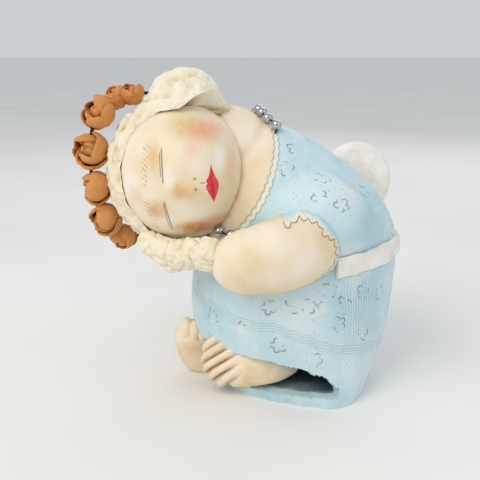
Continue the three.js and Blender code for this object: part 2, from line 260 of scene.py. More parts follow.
def mouthTool():
    # what is cut away between the floor and the hem: open sectors reach out, closed ones stay inside
    foot = np.array(skirt["foot"], float)
    bm = bmesh.new()
    bmesh.ops.create_circle(bm, cap_ends=True, cap_tris=True, segments=132, radius=1)
    top = bmesh.ops.extrude_face_region(bm, geom=bm.faces[:])["geom"]
    upper = {item for item in top if isinstance(item, bmesh.types.BMVert)}
    for vertex in bm.verts:
        span = math.hypot(vertex.co.x, vertex.co.y)
        angle = math.atan2(vertex.co.y, vertex.co.x)
        turn = math.degrees(angle) % 360
        isOpen = skirt["hem"][0][0] < turn < skirt["hem"][-1][0]
        height = skirt["slab"]
        if vertex in upper:
            lift = float(aroundList(skirt["hem"], np.array([turn]))[0]) if isOpen else 0
            height += 0.6 + (22 if span < 0.5 else lift)
        radius = span * skirt["mouthReach" if isOpen else "closedReach"]
        vertex.co = (foot[0] + math.cos(angle) * radius, foot[1] + math.sin(angle) * radius, height)
    return meshFrom(bm, "mouthTool", dressFinish)


def blockBelow(height):
    # a block whose top lies at this height, to cut away or fill what is under it
    bm = bmesh.new()
    bmesh.ops.create_cube(bm, size=400, matrix=Matrix.Translation((30, 4, height - 200)))
    return meshFrom(bm, "blockBelow", hollowFinish)


def makeDress():
    # the solid skin, less the hollow above the floor, the mouth in front, and all that is under the table
    def outer(directions):
        spots = pushedOut(directions, torsoHeart, torsoGap)
        sway = lumps(spots, 26, 1) + 0.5 * lumps(spots, 11, 2)
        return spots + directions * (sway * skirt["unevenness"])[:, None]

    def inner(directions):
        spots = pushedOut(directions, hollowHeart, lambda p: skirtGap(p) + skirt["wall"])
        return spots - directions * (0.8 + 0.8 * lumps(spots, 18, 3))[:, None]

    dress = movedBall("angelFigure", 7, outer, dressFinish)
    hollow = movedBall("hollow", 6, inner, hollowFinish)
    hollow = joinAll(hollow, [blockBelow(skirt["slab"])], "DIFFERENCE")
    return joinAll(dress, [blockBelow(0), hollow, mouthTool()], "DIFFERENCE")


# Head: a round ball of clay for the face, and a thick cap of hair with a rim round the face
face = {
    "centre": (-37.5, -19, 151),
    "radii": (41, 42, 44.5),
    "forms": [                     # x and z from the centre, height, half-widths along x and z
        (7.5, -5.5, 3.2, 7, 6),    # nose
        (16.5, -2, 1.2, 5, 10),    # upper lip
        (21.5, -2, 1.5, 3.2, 8),   # lower lip
        (31, -3, 1.5, 8, 10),      # chin
        (12, 27, 0.8, 13, 10),     # upper cheek
        (12, -29, 0.8, 13, 10),    # lower cheek
        (-9.5, 12, -0.6, 5, 13),   # eye hollows
        (-8, -19, -0.6, 5, 13),
    ],
}
hairCap = {
    "centre": (-36, -4, 149),
    "radii": (52.5, 46, 53),
    "tuft": ((-36, -16, 194), (24, 22, 23)),
    "nape": -4,
    "window": (38.6, 42.2),       # half-sizes of the opening for the face
    "windowFront": -27,           # how far back the opening is cut, and how much farther under the tuft
    "windowDrop": 37,
    "windowWiden": 0.5,
    "wholeFigureTriangles": 188000,  # what the thinning of the hair aims at
    "lockDepth": 1.2,
    "crackDepth": 2.0,
}


def makeFace():
    centre, radii = np.array(face["centre"], float), np.array(face["radii"], float)

    def place(directions):
        q = directions * radii
        front = eased(-directions[:, 1], -0.1, 0.3)
        for x, z, high, wideX, wideZ in face["forms"]:
            q[:, 1] -= high * front * np.exp(-((q[:, 0] - x) / wideX) ** 2 - ((q[:, 2] - z) / wideZ) ** 2)
        q += directions * (0.35 * lumps(q, 17, 4))[:, None]
        return q + centre

    return movedBall("face", 6, place, faceFinish)


def lockRidge(directions):
    # crossing waves over the head, -1 to 1, for the thick locks under the crumbs
    a = np.arctan2(directions[:, 2], directions[:, 0])
    b = np.arccos(np.clip(directions[:, 1], -1, 1))
    return 0.6 * np.sin(9 * a + 4 * np.sin(5 * b)) + 0.4 * np.sin(11 * b + 3 * np.cos(4 * a))


def hairRelief(spots):
    # worms and pinches of clay: lumps, cracks between them, and a rolled rim round the face
    wander = np.stack([lumps(spots, 15, seed) for seed in (11, 12, 13)], axis=1) * 7
    crack = abs(lumps(spots + wander, 10, 14))
    small = abs(lumps(spots + wander * 0.6, 5.5, 15))
    relief = 3.4 * lumps(spots, 9, 16) + 1.3 * lumps(spots, 4, 17)
    relief += hairCap["crackDepth"] * (0.45 - hump(crack, 0.12) - 0.6 * hump(small, 0.10))
    x = (spots[:, 0] - face["centre"][0]) / hairCap["window"][0]
    z = (spots[:, 2] - face["centre"][2]) / hairCap["window"][1]
    fromRim = (np.hypot(x, z) - 1) * hairCap["window"][0]
    front = eased(-spots[:, 1], 8, 16)
    calm = front * hump(np.minimum(fromRim - 3.5, 3), 4.5)
    relief = relief * (1 - 0.75 * calm) + 1.5 * calm
    angle = np.degrees(np.arctan2(z, x))
    upperLeft = eased(angle, 88, 105) * eased(-angle, -185, -165)
    relief -= 1.8 * front * upperLeft * hump(fromRim - 8.0 - 0.9 * np.sin(angle / 9), 0.9)
    smoothSide = eased(spots[:, 0], -22, -12) * eased(spots[:, 2], 178, 190)
    return relief * (1 - 0.8 * smoothSide)


def makeHair():
    # a lumpy cap with a tuft on top, and a ragged window cut in it for the face
    centre = np.array(hairCap["centre"], float)

    def place(directions):
        def gap(points):
            away = points - centre
            away /= np.maximum(np.linalg.norm(away, axis=1, keepdims=True), 1e-9)
            locks = lockRidge(away) * hairCap["lockDepth"]
            rounded = ballGap(points, centre, np.array(hairCap["radii"])) - locks
            tuft = ballGap(points, *hairCap["tuft"]) - 0.5 * locks
            nape = points[:, 0] - hairCap["nape"] - 0.08 * (points[:, 2] - centre[2])
            return -softJoin(-softJoin(rounded, tuft, 8), -nape, 12)

        spots = pushedOut(directions, centre, gap)
        return spots + directions * hairRelief(spots)[:, None]

    hair = movedBall("hair", 7, place, hairFinish)
    bm = bmesh.new()
    turned = Matrix.Rotation(math.pi / 2, 4, "X")
    bmesh.ops.create_cone(bm, cap_ends=True, segments=96, radius1=1, radius2=1, depth=1, matrix=turned)
    wide, tall = hairCap["window"]
    for vertex in bm.verts:
        angle = math.atan2(vertex.co.z, vertex.co.x)
        turn = np.array(math.degrees(angle))
        under = eased(turn, -75, -45)
        wider = float(under * eased(-turn, -96, -54))
        back = float(under * eased(-turn, -68, -44))
        wave = 1 + 0.012 * math.sin(11 * angle) + 0.008 * math.sin(23 * angle + 1)
        wave += hairCap["windowWiden"] * wider
        deep = -90 if vertex.co.y < 0 else hairCap["windowFront"] + hairCap["windowDrop"] * back
        vertex.co = (
            face["centre"][0] + math.cos(angle) * wide * wave,
            deep,
            face["centre"][2] + math.sin(angle) * tall * wave,
        )
    return joinAll(hair, [meshFrom(bm, "faceWindow", hairFinish)], "DIFFERENCE")


def makeLimb(name, points, girths, flat, finish, detail=5, side=(0, 1, 0), shape=None):
    # a round limb along a curve, its half-widths from end to end, squeezed along the side named
    steps = 240
    shares = np.linspace(0, 1, steps)
    spine = curveThrough(points, steps)
    girth = curveThrough([(i, r, 0) for i, r in enumerate(girths)], steps)[:, 1]
    tangents = np.gradient(spine, axis=0)
    tangents /= np.linalg.norm(tangents, axis=1, keepdims=True)

    def place(directions):
        along = np.arccos(np.clip(directions[:, 1], -1, 1)) / np.pi

        def read(rows):
            return np.stack([np.interp(along, shares, rows[:, i]) for i in range(3)], axis=1)

        end = np.clip(np.minimum(along, 1 - along) / 0.22, 0, 1)
        radius = np.interp(along, shares, girth) * np.sqrt(1 - (1 - end) ** 2)
        tangent = read(tangents)
        tangent /= np.linalg.norm(tangent, axis=1, keepdims=True)
        deep = np.array(side, float) - tangent * (tangent @ np.array(side, float))[:, None]
        deep /= np.linalg.norm(deep, axis=1, keepdims=True)
        tall = np.cross(deep, tangent)
        angle = np.arctan2(directions[:, 2], directions[:, 0])
        spots = read(spine) + tall * (np.cos(angle) * radius)[:, None]
        spots += deep * (np.sin(angle) * radius * flat)[:, None]
        spots += (spots - read(spine)) * (0.02 * lumps(spots, 14, len(name)))[:, None]
        return shape(spots, spots - read(spine)) if shape else spots

    return movedBall(name, detail, place, finish)


# Front locks: the strip of hair under the lower cheek, with its hanging tip and curl
locks = {
    "strip": ([(-66, -30, 110), (-48, -42, 103), (-30, -52, 104), (-12, -60, 112)], [7, 8.5, 9, 8]),
    "tip": ([(-24, -56, 112), (-21, -62, 105), (-23, -62, 96)], [8, 9, 6]),
    "curl": ([(-44, -34, 106), (-41, -42, 98), (-37, -46, 92)], [8, 9, 7]),
}

# Arms: each wraps forward round the knees and ends in a mitten hand
arms = {
    "near": ([(55, -42, 117), (38, -57, 109), (11, -65, 103.5), (-18, -60, 97)], [20, 22.5, 23, 20.5, 17.5]),
    "far": ([(14, 60, 120), (-10, 50, 108), (-24, 28, 99), (-26, 2, 96)], [20, 19, 16, 14, 11]),
    "fingerNotches": (110, 98, 86),   # heights in mm of the creases between the fingers
}

# Feet: the near foot lies on its outer edge, the far one stands on its heel
feet = {
    "near": ([(-25, -23, 23), (-8, -33, 24), (16, -40, 23), (40, -34, 19)], [15, 18.5, 17, 12, 7]),
    "far": ([(-34, -2, 41), (-31, 2, 24), (-20, 8, 8), (6, 16, 8)], [13, 16, 17, 13, 8]),
    "nearToes": ((-20, -28, 36), (-9, -42, 13), 5),      # first and last toe, and how many
    "farToes": ((-39, -2, 38), (-20, -8, 36), 4),
    "farToeSize": (4.6, 6.4, 8.5),
    "farToeShift": (0.8, -1.5, -3.0),
}


def lockCreases(spots, outward):
    # the same crumbs and cracks as the cap of hair, a little shallower
    outward = outward / np.maximum(np.linalg.norm(outward, axis=1, keepdims=True), 1e-6)
    return spots + outward * (0.75 * hairRelief(spots))[:, None]


def handCreases(spots, outward):
    # notches between the fingers, at the far left end of the near arm
    near = eased(-spots[:, 0], 24, 29)
    for height in arms["fingerNotches"]:
        cut = 1.7 * near * hump(spots[:, 2] - height - 0.25 * (spots[:, 0] + 30), 1.5)
        spots[:, 0] += cut * 0.8
        spots[:, 1] += cut * 0.6
    return spots


def toeCreases(spots, outward):
    # ridges for the toes of the near foot, side by side down its left end
    outward = outward / np.maximum(np.linalg.norm(outward, axis=1, keepdims=True), 1e-6)
    low, high, count = feet["nearToes"]
    row = np.array(high, float) - np.array(low, float)
    long = np.linalg.norm(row)
    place = (spots - low) @ row / long / (long / (count - 1)) + 0.12 * (spots[:, 0] + 14) / 7
    fade = eased(-spots[:, 0], -4, 13) * eased(place, -1.0, -0.4) * eased(-place, -count - 0.6, -count + 0.2)
    off = abs(place - np.floor(place) - 0.5) * long / (count - 1)
    ridge = 1.3 * np.cos(place * 2 * np.pi) - 1.6 * hump(off, 0.9)
    return spots + outward * (fade * ridge)[:, None]


def makeToes():
    # each toe of the far foot is a long ball laid along it
    made = []
    rowFrom, rowTo, count = feet["farToes"]
    for i in range(count):
        spot = mixed(np.array(rowFrom, float), np.array(rowTo, float), i / (count - 1))
        size = np.array(feet["farToeSize"]) * (1.08 - 0.05 * i)
        made.append(movedBall(f"farToe{i}", 4, lambda d: spot + d * size + feet["farToeShift"], footFinish))
    return made


def makeLimbs():
    made = []
    for name in ("strip", "tip", "curl"):
        made.append(makeLimb(name, *locks[name], 0.8, hairFinish, 6, shape=lockCreases))
    made.append(makeLimb("nearArm", *arms["near"], 0.8, skinFinish, 6, shape=handCreases))
    made.append(makeLimb("farArm", *arms["far"], 0.9, skinFinish, side=(0, 0, 1)))
    made.append(makeLimb("nearFoot", *feet["near"], 0.72, footFinish, 6, shape=toeCreases))
    made.append(makeLimb("farFoot", *feet["far"], 0.72, footFinish))
    return made + makeToes()


# Wings: two round paddles on the back, pitted by the fingers
wings = {
    "thickness": 11,
    "near": ((84.5, 32, 138), 27, 14),
    "far": ((58, 62, 127), 25, 62),
    "pits": 0.9,
}


def makeWing(name, centre, radius, turn):
    place = Matrix.Rotation(math.radians(turn), 4, "Z") @ Matrix.Rotation(-0.12, 4, "X")
    turning = np.array(place.to_3x3())

    def paddle(directions):
        # the thickness runs along y, fuller than a plain lens so that the rim is rounded
        thick = directions[:, 1] * np.sqrt(2 - directions[:, 1] ** 2) * wings["thickness"] / 2
        flat = np.stack([directions[:, 0] * radius, thick, directions[:, 2] * radius], axis=1)
        spots = flat @ turning.T + centre
        pits = lumps(spots, 7, 5) * 0.6 + lumps(spots, 15, 6)
        lift = np.sign(directions[:, 1]) * eased(abs(directions[:, 1]), 0, 0.4) * wings["pits"] * pits
        return spots + (turning @ np.array((0, 1.0, 0))) * lift[:, None]

    return movedBall(name, 5, paddle, slipFinish)


# Sash: a flat band laid round the back of the waist, from one arm to the other
sash = {
    "width": 13,
    "thickness": 3,
    "from": -68,                  # turn in degrees about the skirt's belly, from the near end to the far end
    "to": 112,
    "height": 88,
    "rise": 7,
    "inClay": 4,
}


def makeSash():
    bm = bmesh.new()
    bmesh.ops.create_cube(bm, size=1)
    lengthwise = [e for e in bm.edges if abs(e.verts[0].co.x - e.verts[1].co.x) > 0.5]
    bmesh.ops.subdivide_edges(bm, edges=lengthwise, cuts=150, use_grid_fill=True)
    upright = [e for e in bm.edges if abs(e.verts[0].co.z - e.verts[1].co.z) > 0.5]
    bmesh.ops.subdivide_edges(bm, edges=upright, cuts=9, use_grid_fill=True)
    start = np.array([v.co for v in bm.verts])
    share = start[:, 0] + 0.5
    angle = np.radians(mixed(sash["from"], sash["to"], share))
    edge = 1 + 0.05 * np.sin(share * 37) + 0.04 * np.sin(share * 90 + 2)
    height = sash["height"] + sash["rise"] * np.sin(share * np.pi * 0.8) + start[:, 2] * sash["width"] * edge
    lean = np.radians(60 - 40 * share) * 0.1
    away = np.stack([np.cos(angle), np.sin(angle), np.sin(lean)], axis=1)
    beltX, beltY = (np.full(len(share), float(value)) for value in skirt["belly"][:2])
    heart = np.stack([beltX, beltY, height], axis=1)
    low, high = np.zeros(len(share)), np.full(len(share), 130.0)
    for _ in range(20):
        middle = (low + high) / 2
        inside = torsoGap(heart + away * middle[:, None]) < 0
        low, high = np.where(inside, middle, low), np.where(inside, high, middle)
    fullness = sash["thickness"] * (1 - 0.55 * (2 * abs(start[:, 2])) ** 4)
    wobble = 0.5 * lumps(heart + away * low[:, None], 9, 7)
    radius = low + np.where(start[:, 1] < 0, fullness + wobble, -sash["inClay"])
    for vertex, spot in zip(bm.verts, heart + away * radius[:, None]):
        vertex.co = spot
    return meshFrom(bm, "sash", slipFinish)


# Crown: a tilted ring of roses threaded on a bent wire
crown = {
    "centre": (-41, 12, 151),
    "tilt": 20,
    "roseDiameter": 24,
    "wireDiameter": 2.4,
    "wireDepth": 9,               # how far each end of the wire turns in
    "seats": [                    # turn and reach about the centre, how far back, size, facing, spin
        (84, 42, 30, 0.66, (0.1, 0.6, 0.8), 0.4),
        (104, 48, 22, 0.66, (-0.2, 0.3, 0.95), 2.1),
        (124.3, 60.5, 6, 0.69, (-0.3, -0.4, 0.85), 5.0),
        (135.2, 67, 14, 0.76, (-0.55, -0.25, 0.8), 1.0),
        (146.4, 68.5, 0, 0.96, (-0.6, -0.65, 0.45), 3.3),
        (168.5, 64, 0, 1.04, (-0.5, -0.85, 0.1), 0.2),
        (191.6, 62.5, 0, 0.97, (-0.9, -0.3, -0.2), 4.1),
        (212.6, 65.5, 0, 0.97, (-0.8, -0.55, -0.3), 2.6),
        (228.7, 67, 7, 0.82, (-0.5, -0.4, -0.75), 1.7),
        (246, 52, 22, 0.66, (-0.2, 0.4, -0.9), 5.6),
    ],
}


def crownPoint(turn, reach, back):
    # a place in the crown's own tilted plane, moved straight back from it
    x = math.cos(math.radians(turn)) * reach
    tilt = math.radians(crown["tilt"])
    spot = (x * math.cos(tilt), x * math.sin(tilt) + back, math.sin(math.radians(turn)) * reach)
    return np.array(spot) + crown["centre"]


def crownPath():
    ends = [crownPoint(56, 34 - crown["wireDepth"], 30), crownPoint(70, 37, 33)]
    seats = [crownPoint(*seat[:3]) for seat in crown["seats"]]
    return ends + seats + [crownPoint(262, 42, 30), crownPoint(276, 38 - crown["wireDepth"], 31)]


def makeWire(name, points, diameter, finish):
    # a round curve turned into a mesh, so that its place is in the mesh itself
    path = curveThrough(points, 160)
    curve = bpy.data.curves.new(name, "CURVE")
    curve.dimensions = "3D"
    curve.bevel_depth = diameter * 0.0005
    curve.bevel_resolution = 3
    curve.use_fill_caps = True
    line = curve.splines.new("POLY")
    line.points.add(len(path) - 1)
    for knot, spot in zip(line.points, toMetres(path)):
        knot.co = (*spot, 1)
    drawn = newObject(name + "Line", curve)
    mesh = bpy.data.meshes.new_from_object(drawn.evaluated_get(bpy.context.evaluated_depsgraph_get()))
    bpy.data.objects.remove(drawn)
    mesh.materials.clear()
    mesh.materials.append(finish)
    mesh.shade_smooth()
    wire = newObject(name, mesh)
    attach(wire, "root")
    return wire


rose = {
    "petalThickness": 0.27,       # shares of the rose's radius from here on
    "rings": [                    # petals, shell radius, half-turn, foot and rim in degrees, roll, overlap
        (2, 0.40, 120, 150, 14, 0.02, 0.10),
        (2, 0.58, 96, 158, 26, 0.06, 0.13),
        (3, 0.79, 78, 166, 46, 0.13, 0.13),
        (3, 0.89, 56, 168, 78, 0.13, 0.12),
    ],
    "heart": 0.36,
    "limit": 1.05,                # nothing of the rose reaches past this
}


def makePetal(radius, turn, ring, chance):
    # a thick leaf of clay pressed round the bud: x runs round it, z from foot to rim, y through it
    _, shell, halfTurn, foot, rim, roll, overlap = ring
    bm = bmesh.new()
    bmesh.ops.create_uvsphere(bm, u_segments=24, v_segments=14, radius=1)
    slant, drop, wave = chance.uniform(-14, 14), chance.uniform(-12, 8), chance.uniform(0, 6)
    fold = chance.uniform(-0.5, 0.5)
    for vertex in bm.verts:
        x, y, z = vertex.co
        disc = min(math.hypot(x, z), 1)
        blunt = math.copysign(math.sqrt(max(1 - disc ** 5, 0)), y) if abs(y) > 1e-4 else 0
        up = (z + 1) / 2
        angle = turn + math.radians(halfTurn) * x * (1 - 0.2 * up)
        polar = math.radians(mixed(foot, rim + drop, up) + slant * x * up)
        away = shell + roll * up ** 3 + overlap * x + 0.05 * up * math.sin(3.5 * x + wave)
        away -= 0.10 * up * math.exp(-((x - fold) / 0.16) ** 2)
        away = (away + blunt * rose["petalThickness"] / 2) * radius
        span = away * math.sin(polar)
        tall = away * math.cos(polar) - 0.05 * radius
        vertex.co = (math.cos(angle) * span, math.sin(angle) * span, tall)
    return bm


def makeRose(index, seat):
    # a ball for the heart and rings of overlapping petals round it, joined and turned to face its own way
    turn, reach, back, size, facing, spin = seat
    chance = np.random.default_rng(40 + index)
    radius = crown["roseDiameter"] * size / 2
    centre = Vector(crownPoint(turn, reach, back))
    aim = Vector(facing).normalized().to_track_quat("Z", "Y").to_matrix().to_4x4()
    place = Matrix.Translation(centre) @ aim @ Matrix.Rotation(spin, 4, "Z")
    parts = []
    bm = bmesh.new()
    bmesh.ops.create_icosphere(bm, subdivisions=4, radius=radius * rose["heart"])
    parts.append(bm)
    for number, ring in enumerate(rose["rings"]):
        for i in range(ring[0]):
            start = number * 0.9 + i * 2 * math.pi / ring[0] + chance.uniform(-0.2, 0.2)
            parts.append(makePetal(radius, start, ring, chance))
    objects = []
    for number, bm in enumerate(parts):
        bmesh.ops.transform(bm, matrix=place, verts=bm.verts)
        limit = radius * rose["limit"]
        for vertex in bm.verts:
            away = vertex.co - centre
            if away.length > limit:
                vertex.co = centre + away * (limit / away.length)
        objects.append(meshFrom(bm, f"rosePart{number}"))
    made = joinAll(objects[0], objects[1:])
    made.name = f"rose{index}"
    return made


def finishPiece(piece, finish, node):
    piece.data.materials.clear()
    piece.data.materials.append(finish)
    piece.data.polygons.foreach_set("material_index", [0] * len(piece.data.polygons))
    piece.data.shade_smooth()
    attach(piece, "root")
    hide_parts(node)


# Necklace: beads on a thin wire, in two runs that show beside the neck
beads = {
    "diameter": 7.2,
    "pitch": 9.4,
    "threadDiameter": 1.2,
    "hole": 1.9,
    "runs": {                     # how many beads, and the wire: along the neck, angle round it, height
        "back": (12, [
            (74, 119, -4), (77, 110, 3.16), (86, 98, 3.16), (90, 82, 3.95), (89, 66, 3.95), (82, 44, 3.95),
            (79, 22, 3.95), (77, 4, 3.95), (76, -12, 3.95), (76, -22, -4),
        ]),
        "front": (3, [(46, 191, -4), (52, 198, 3.95), (58, 206, 3.95), (65, 213, 3.95), (70, 219, -4)]),
    },
}
neckLow, neckHigh = np.array(chest["low"], float), np.array(chest["high"], float)
neckAxis = (neckHigh - neckLow) / np.linalg.norm(neckHigh - neckLow)
neckFar = np.array((0, 1.0, 0)) - neckAxis * neckAxis[1]
neckFar /= np.linalg.norm(neckFar)
neckTop = np.cross(neckFar, neckAxis)


def besideNeck(along, angle, height):
    # a place over the neck's skin: mm along it, angle round it and height above the clay
    away = neckFar * math.cos(math.radians(angle)) + neckTop * math.sin(math.radians(angle))
    heart = neckLow + neckAxis * along
    radius = 20.0
    while torsoGap((heart + away * radius)[None])[0] < 0:
        radius += 0.25
    return heart + away * (radius + height)


def makeBead(name, centre, along):
    # a turned bead: a ball with its two ends drawn in round the hole
    bm = bmesh.new()
    bmesh.ops.create_uvsphere(bm, u_segments=28, v_segments=20, radius=beads["diameter"] / 2)
    for vertex in bm.verts:
        span = math.hypot(vertex.co.x, vertex.co.y)
        if span < beads["hole"] / 2 + 0.3:
            vertex.co.z -= math.copysign(0.35 * (1 - span / (beads["hole"] / 2 + 0.3)), vertex.co.z)
    aim = Vector(along).to_track_quat("Z", "Y").to_matrix().to_4x4()
    bmesh.ops.transform(bm, matrix=Matrix.Translation(Vector(centre)) @ aim, verts=bm.verts)
    return meshFrom(bm, name)


def makeNecklace():
    # beads at one pitch along each wire, counted out from its middle
    for run, (count, path) in beads["runs"].items():
        points = [besideNeck(*row) for row in path]
        wire = makeWire(f"necklaceWire_{run}", points, beads["threadDiameter"], wireFinish)
        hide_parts(f"necklace_wire_{run}")
        line = curveThrough(points, 2000)
        lengths = np.concatenate(([0], np.cumsum(np.linalg.norm(np.diff(line, axis=0), axis=1))))
        for i in range(count):
            spot = lengths[-1] / 2 + (i - (count - 1) / 2) * beads["pitch"]
            centre = [np.interp(spot, lengths, line[:, k]) for k in range(3)]
            ahead = [np.interp(spot + 0.5, lengths, line[:, k]) for k in range(3)]
            bead = makeBead(f"bead_{run}{i + 1}", centre, np.array(ahead) - centre)
            finishPiece(bead, steelFinish, f"bead_{run}_{i + 1}")


# Materials. Colours are sRGB hex values, and every pattern's size is in mm

def linear(hexColour):
    parts = [int(hexColour[i:i + 2], 16) / 255 for i in (1, 3, 5)]
    return (*[c / 12.92 if c <= 0.04045 else ((c + 0.055) / 1.055) ** 2.4 for c in parts], 1)


def perMm(size):
    # the scale that gives a pattern features of this size, on object coordinates in metres
    return 1000 / size


def addNode(tree, kind, links=None, stops=None, **settings):
    # in a Mix, 0 is the share of the upper coat 7 over the lower coat 6
    # links holds numbers, hex colours, sockets or nodes by input; stops fill a ramp or a curve
    node = tree.nodes.new("ShaderNode" + kind)
    for key, value in settings.items():
        setattr(node, key, value)
    for key, value in (links or {}).items():
        if isinstance(value, bpy.types.Node):
            value = next(output for output in value.outputs if output.enabled)
        if isinstance(value, bpy.types.NodeSocket):
            tree.links.new(value, node.inputs[key])
        else:
            node.inputs[key].default_value = linear(value) if isinstance(value, str) else value
    if stops and kind == "ValToRGB":
        ramp = node.color_ramp
        while len(ramp.elements) < len(stops):
            ramp.elements.new(0.5)
        for element, (place, colour) in zip(ramp.elements, stops):
            element.position = place
            element.color = linear(colour)
    elif stops:
        line = node.mapping.curves[0]
        while len(line.points) < len(stops):
            line.points.new(0.5, 0.5)
        for point, spot in zip(line.points, stops):
            point.location = spot
        node.mapping.update()
    return node


def startMaterial(name, roughness, specular):
    # fired clay has an IOR near 1.5, so a specular level below 0.5 only dulls it as a matt glaze does
    material = bpy.data.materials.new(name)
    material.use_nodes = True
    tree = material.node_tree
    shader = tree.nodes["Principled BSDF"]
    shader.inputs["Roughness"].default_value = roughness
    shader.inputs["Specular IOR Level"].default_value = specular
    place = addNode(tree, "TexCoord").outputs["Object"]
    return material, tree, shader, place


def finishMaterial(tree, shader, colour, height, depth):
    # depth is how far the height's whole range stands out, in mm
    bump = addNode(tree, "Bump", {"Height": height, "Strength": 1.0, "Distance": depth / 1000})
    tree.links.new(bump.outputs[0], shader.inputs["Normal"])
    tree.links.new(next(output for output in colour.outputs if output.enabled), shader.inputs["Base Color"])


wash = {                          # blue underglaze brushed over cream clay, then rubbed back
    "deep": "#AFD2DA",
    "mid": "#C7E1E7",
    "pale": "#DDEBEC",
    "rubbed": "#EFEAE2",
    # the wash pooled in the recesses, with painted shade there too
    "recess": "#5E9FAE",
    "speck": "#74736B",
    "stamp": "#6E6A5E",
    "edge": "#EFE6D2",
    "combPitch": 1.9,
    "groovePitch": 2.3,
}
slip = {                          # the cream slip of face, neck and hands
    "deep": "#E9D2A8",
    "mid": "#F3E2C6",
    "pale": "#F9EFDE",
    # painted shade in the recesses
    "recess": "#B98A50",
}


def blueWash(tree, place):
    # blue underglaze: streaky where it was brushed, thin on high places, darker and greener in the recesses,
    # where the wash pools and painted shade lies
    broad = addNode(tree, "TexNoise", {"Vector": place, "Scale": perMm(42), "Detail": 4.0})
    clouds = [(0.3, wash["deep"]), (0.5, wash["mid"]), (0.72, wash["pale"])]
    colour = addNode(tree, "ValToRGB", {0: broad}, clouds)
    drawn = addNode(tree, "Mapping", {0: place, 3: (1, 1, 0.25)})
    streak = addNode(tree, "TexNoise", {"Vector": drawn, "Scale": perMm(5), "Detail": 3.0})
    streakShare = addNode(tree, "MapRange", {0: streak, 1: 0.5, 2: 0.8, 3: 0.0, 4: 0.45})
    colour = addNode(tree, "Mix", {0: streakShare, 6: colour, 7: wash["pale"]}, data_type="RGBA")
    rub = addNode(tree, "TexNoise", {"Vector": place, "Scale": perMm(13), "Detail": 5.0, "Roughness": 0.62})
    rubShare = addNode(tree, "MapRange", {0: rub, 1: 0.56, 2: 0.7, 3: 0.0, 4: 0.6})
    colour = addNode(tree, "Mix", {0: rubShare, 6: colour, 7: wash["rubbed"]}, data_type="RGBA")
    # painted shade, and the wash's own pooling: darker and greener in the recesses
    recess = addNode(tree, "Attribute", attribute_name="recess")
    colour = addNode(tree, "Mix", {0: recess.outputs["Fac"], 6: colour, 7: wash["recess"]}, data_type="RGBA")
    grit = addNode(tree, "TexVoronoi", {"Vector": place, "Scale": perMm(4.2)})
    gritNear = addNode(tree, "MapRange", {0: grit, 1: 0.16, 2: 0.06, 3: 0.0, 4: 0.7})
    gritHere = addNode(tree, "MapRange", {0: broad, 1: 0.5, 2: 0.62})
    speck = addNode(tree, "Math", {0: gritNear, 1: gritHere}, operation="MULTIPLY")
    colour = addNode(tree, "Mix", {0: speck, 6: colour, 7: wash["speck"]}, data_type="RGBA")
    grain = addNode(tree, "TexNoise", {"Vector": place, "Scale": perMm(1.6), "Detail": 3.0})
    height = addNode(tree, "Math", {0: streak, 1: 0.5, 2: grain}, operation="MULTIPLY_ADD")
    return colour, height


def creamSlip(tree, place):
    # cream slip, burnished smooth: darker and warmer in the recesses, as painted shade
    broad = addNode(tree, "TexNoise", {"Vector": place, "Scale": perMm(34), "Detail": 4.0})
    clouds = [(0.3, slip["deep"]), (0.5, slip["mid"]), (0.7, slip["pale"])]
    colour = addNode(tree, "ValToRGB", {0: broad}, clouds)
    # painted shade: darker and warmer in the recesses
    recess = addNode(tree, "Attribute", attribute_name="recess")
    colour = addNode(tree, "Mix", {0: recess.outputs["Fac"], 6: colour, 7: slip["recess"]}, data_type="RGBA")
    grit = addNode(tree, "TexVoronoi", {"Vector": place, "Scale": perMm(7)})
    speck = addNode(tree, "MapRange", {0: grit, 1: 0.07, 2: 0.03, 3: 0.0, 4: 0.45})
    colour = addNode(tree, "Mix", {0: speck, 6: colour, 7: "#8A6E46"}, data_type="RGBA")
    grain = addNode(tree, "TexNoise", {"Vector": place, "Scale": perMm(2.2), "Detail": 2.0})
    return colour, grain


def edgeBand(tree, gap, wave, low, high):
    # a scalloped line along an edge: 1 where gap plus the scallop lies between low and high, in mm
    scalloped = addNode(tree, "Math", {0: gap, 1: wave}, operation="ADD")
    above = addNode(tree, "MapRange", {0: scalloped, 1: low - 0.25, 2: low + 0.25})
    below = addNode(tree, "MapRange", {0: scalloped, 1: high + 0.25, 2: high - 0.25})
    return addNode(tree, "Math", {0: above, 1: below}, operation="MULTIPLY")


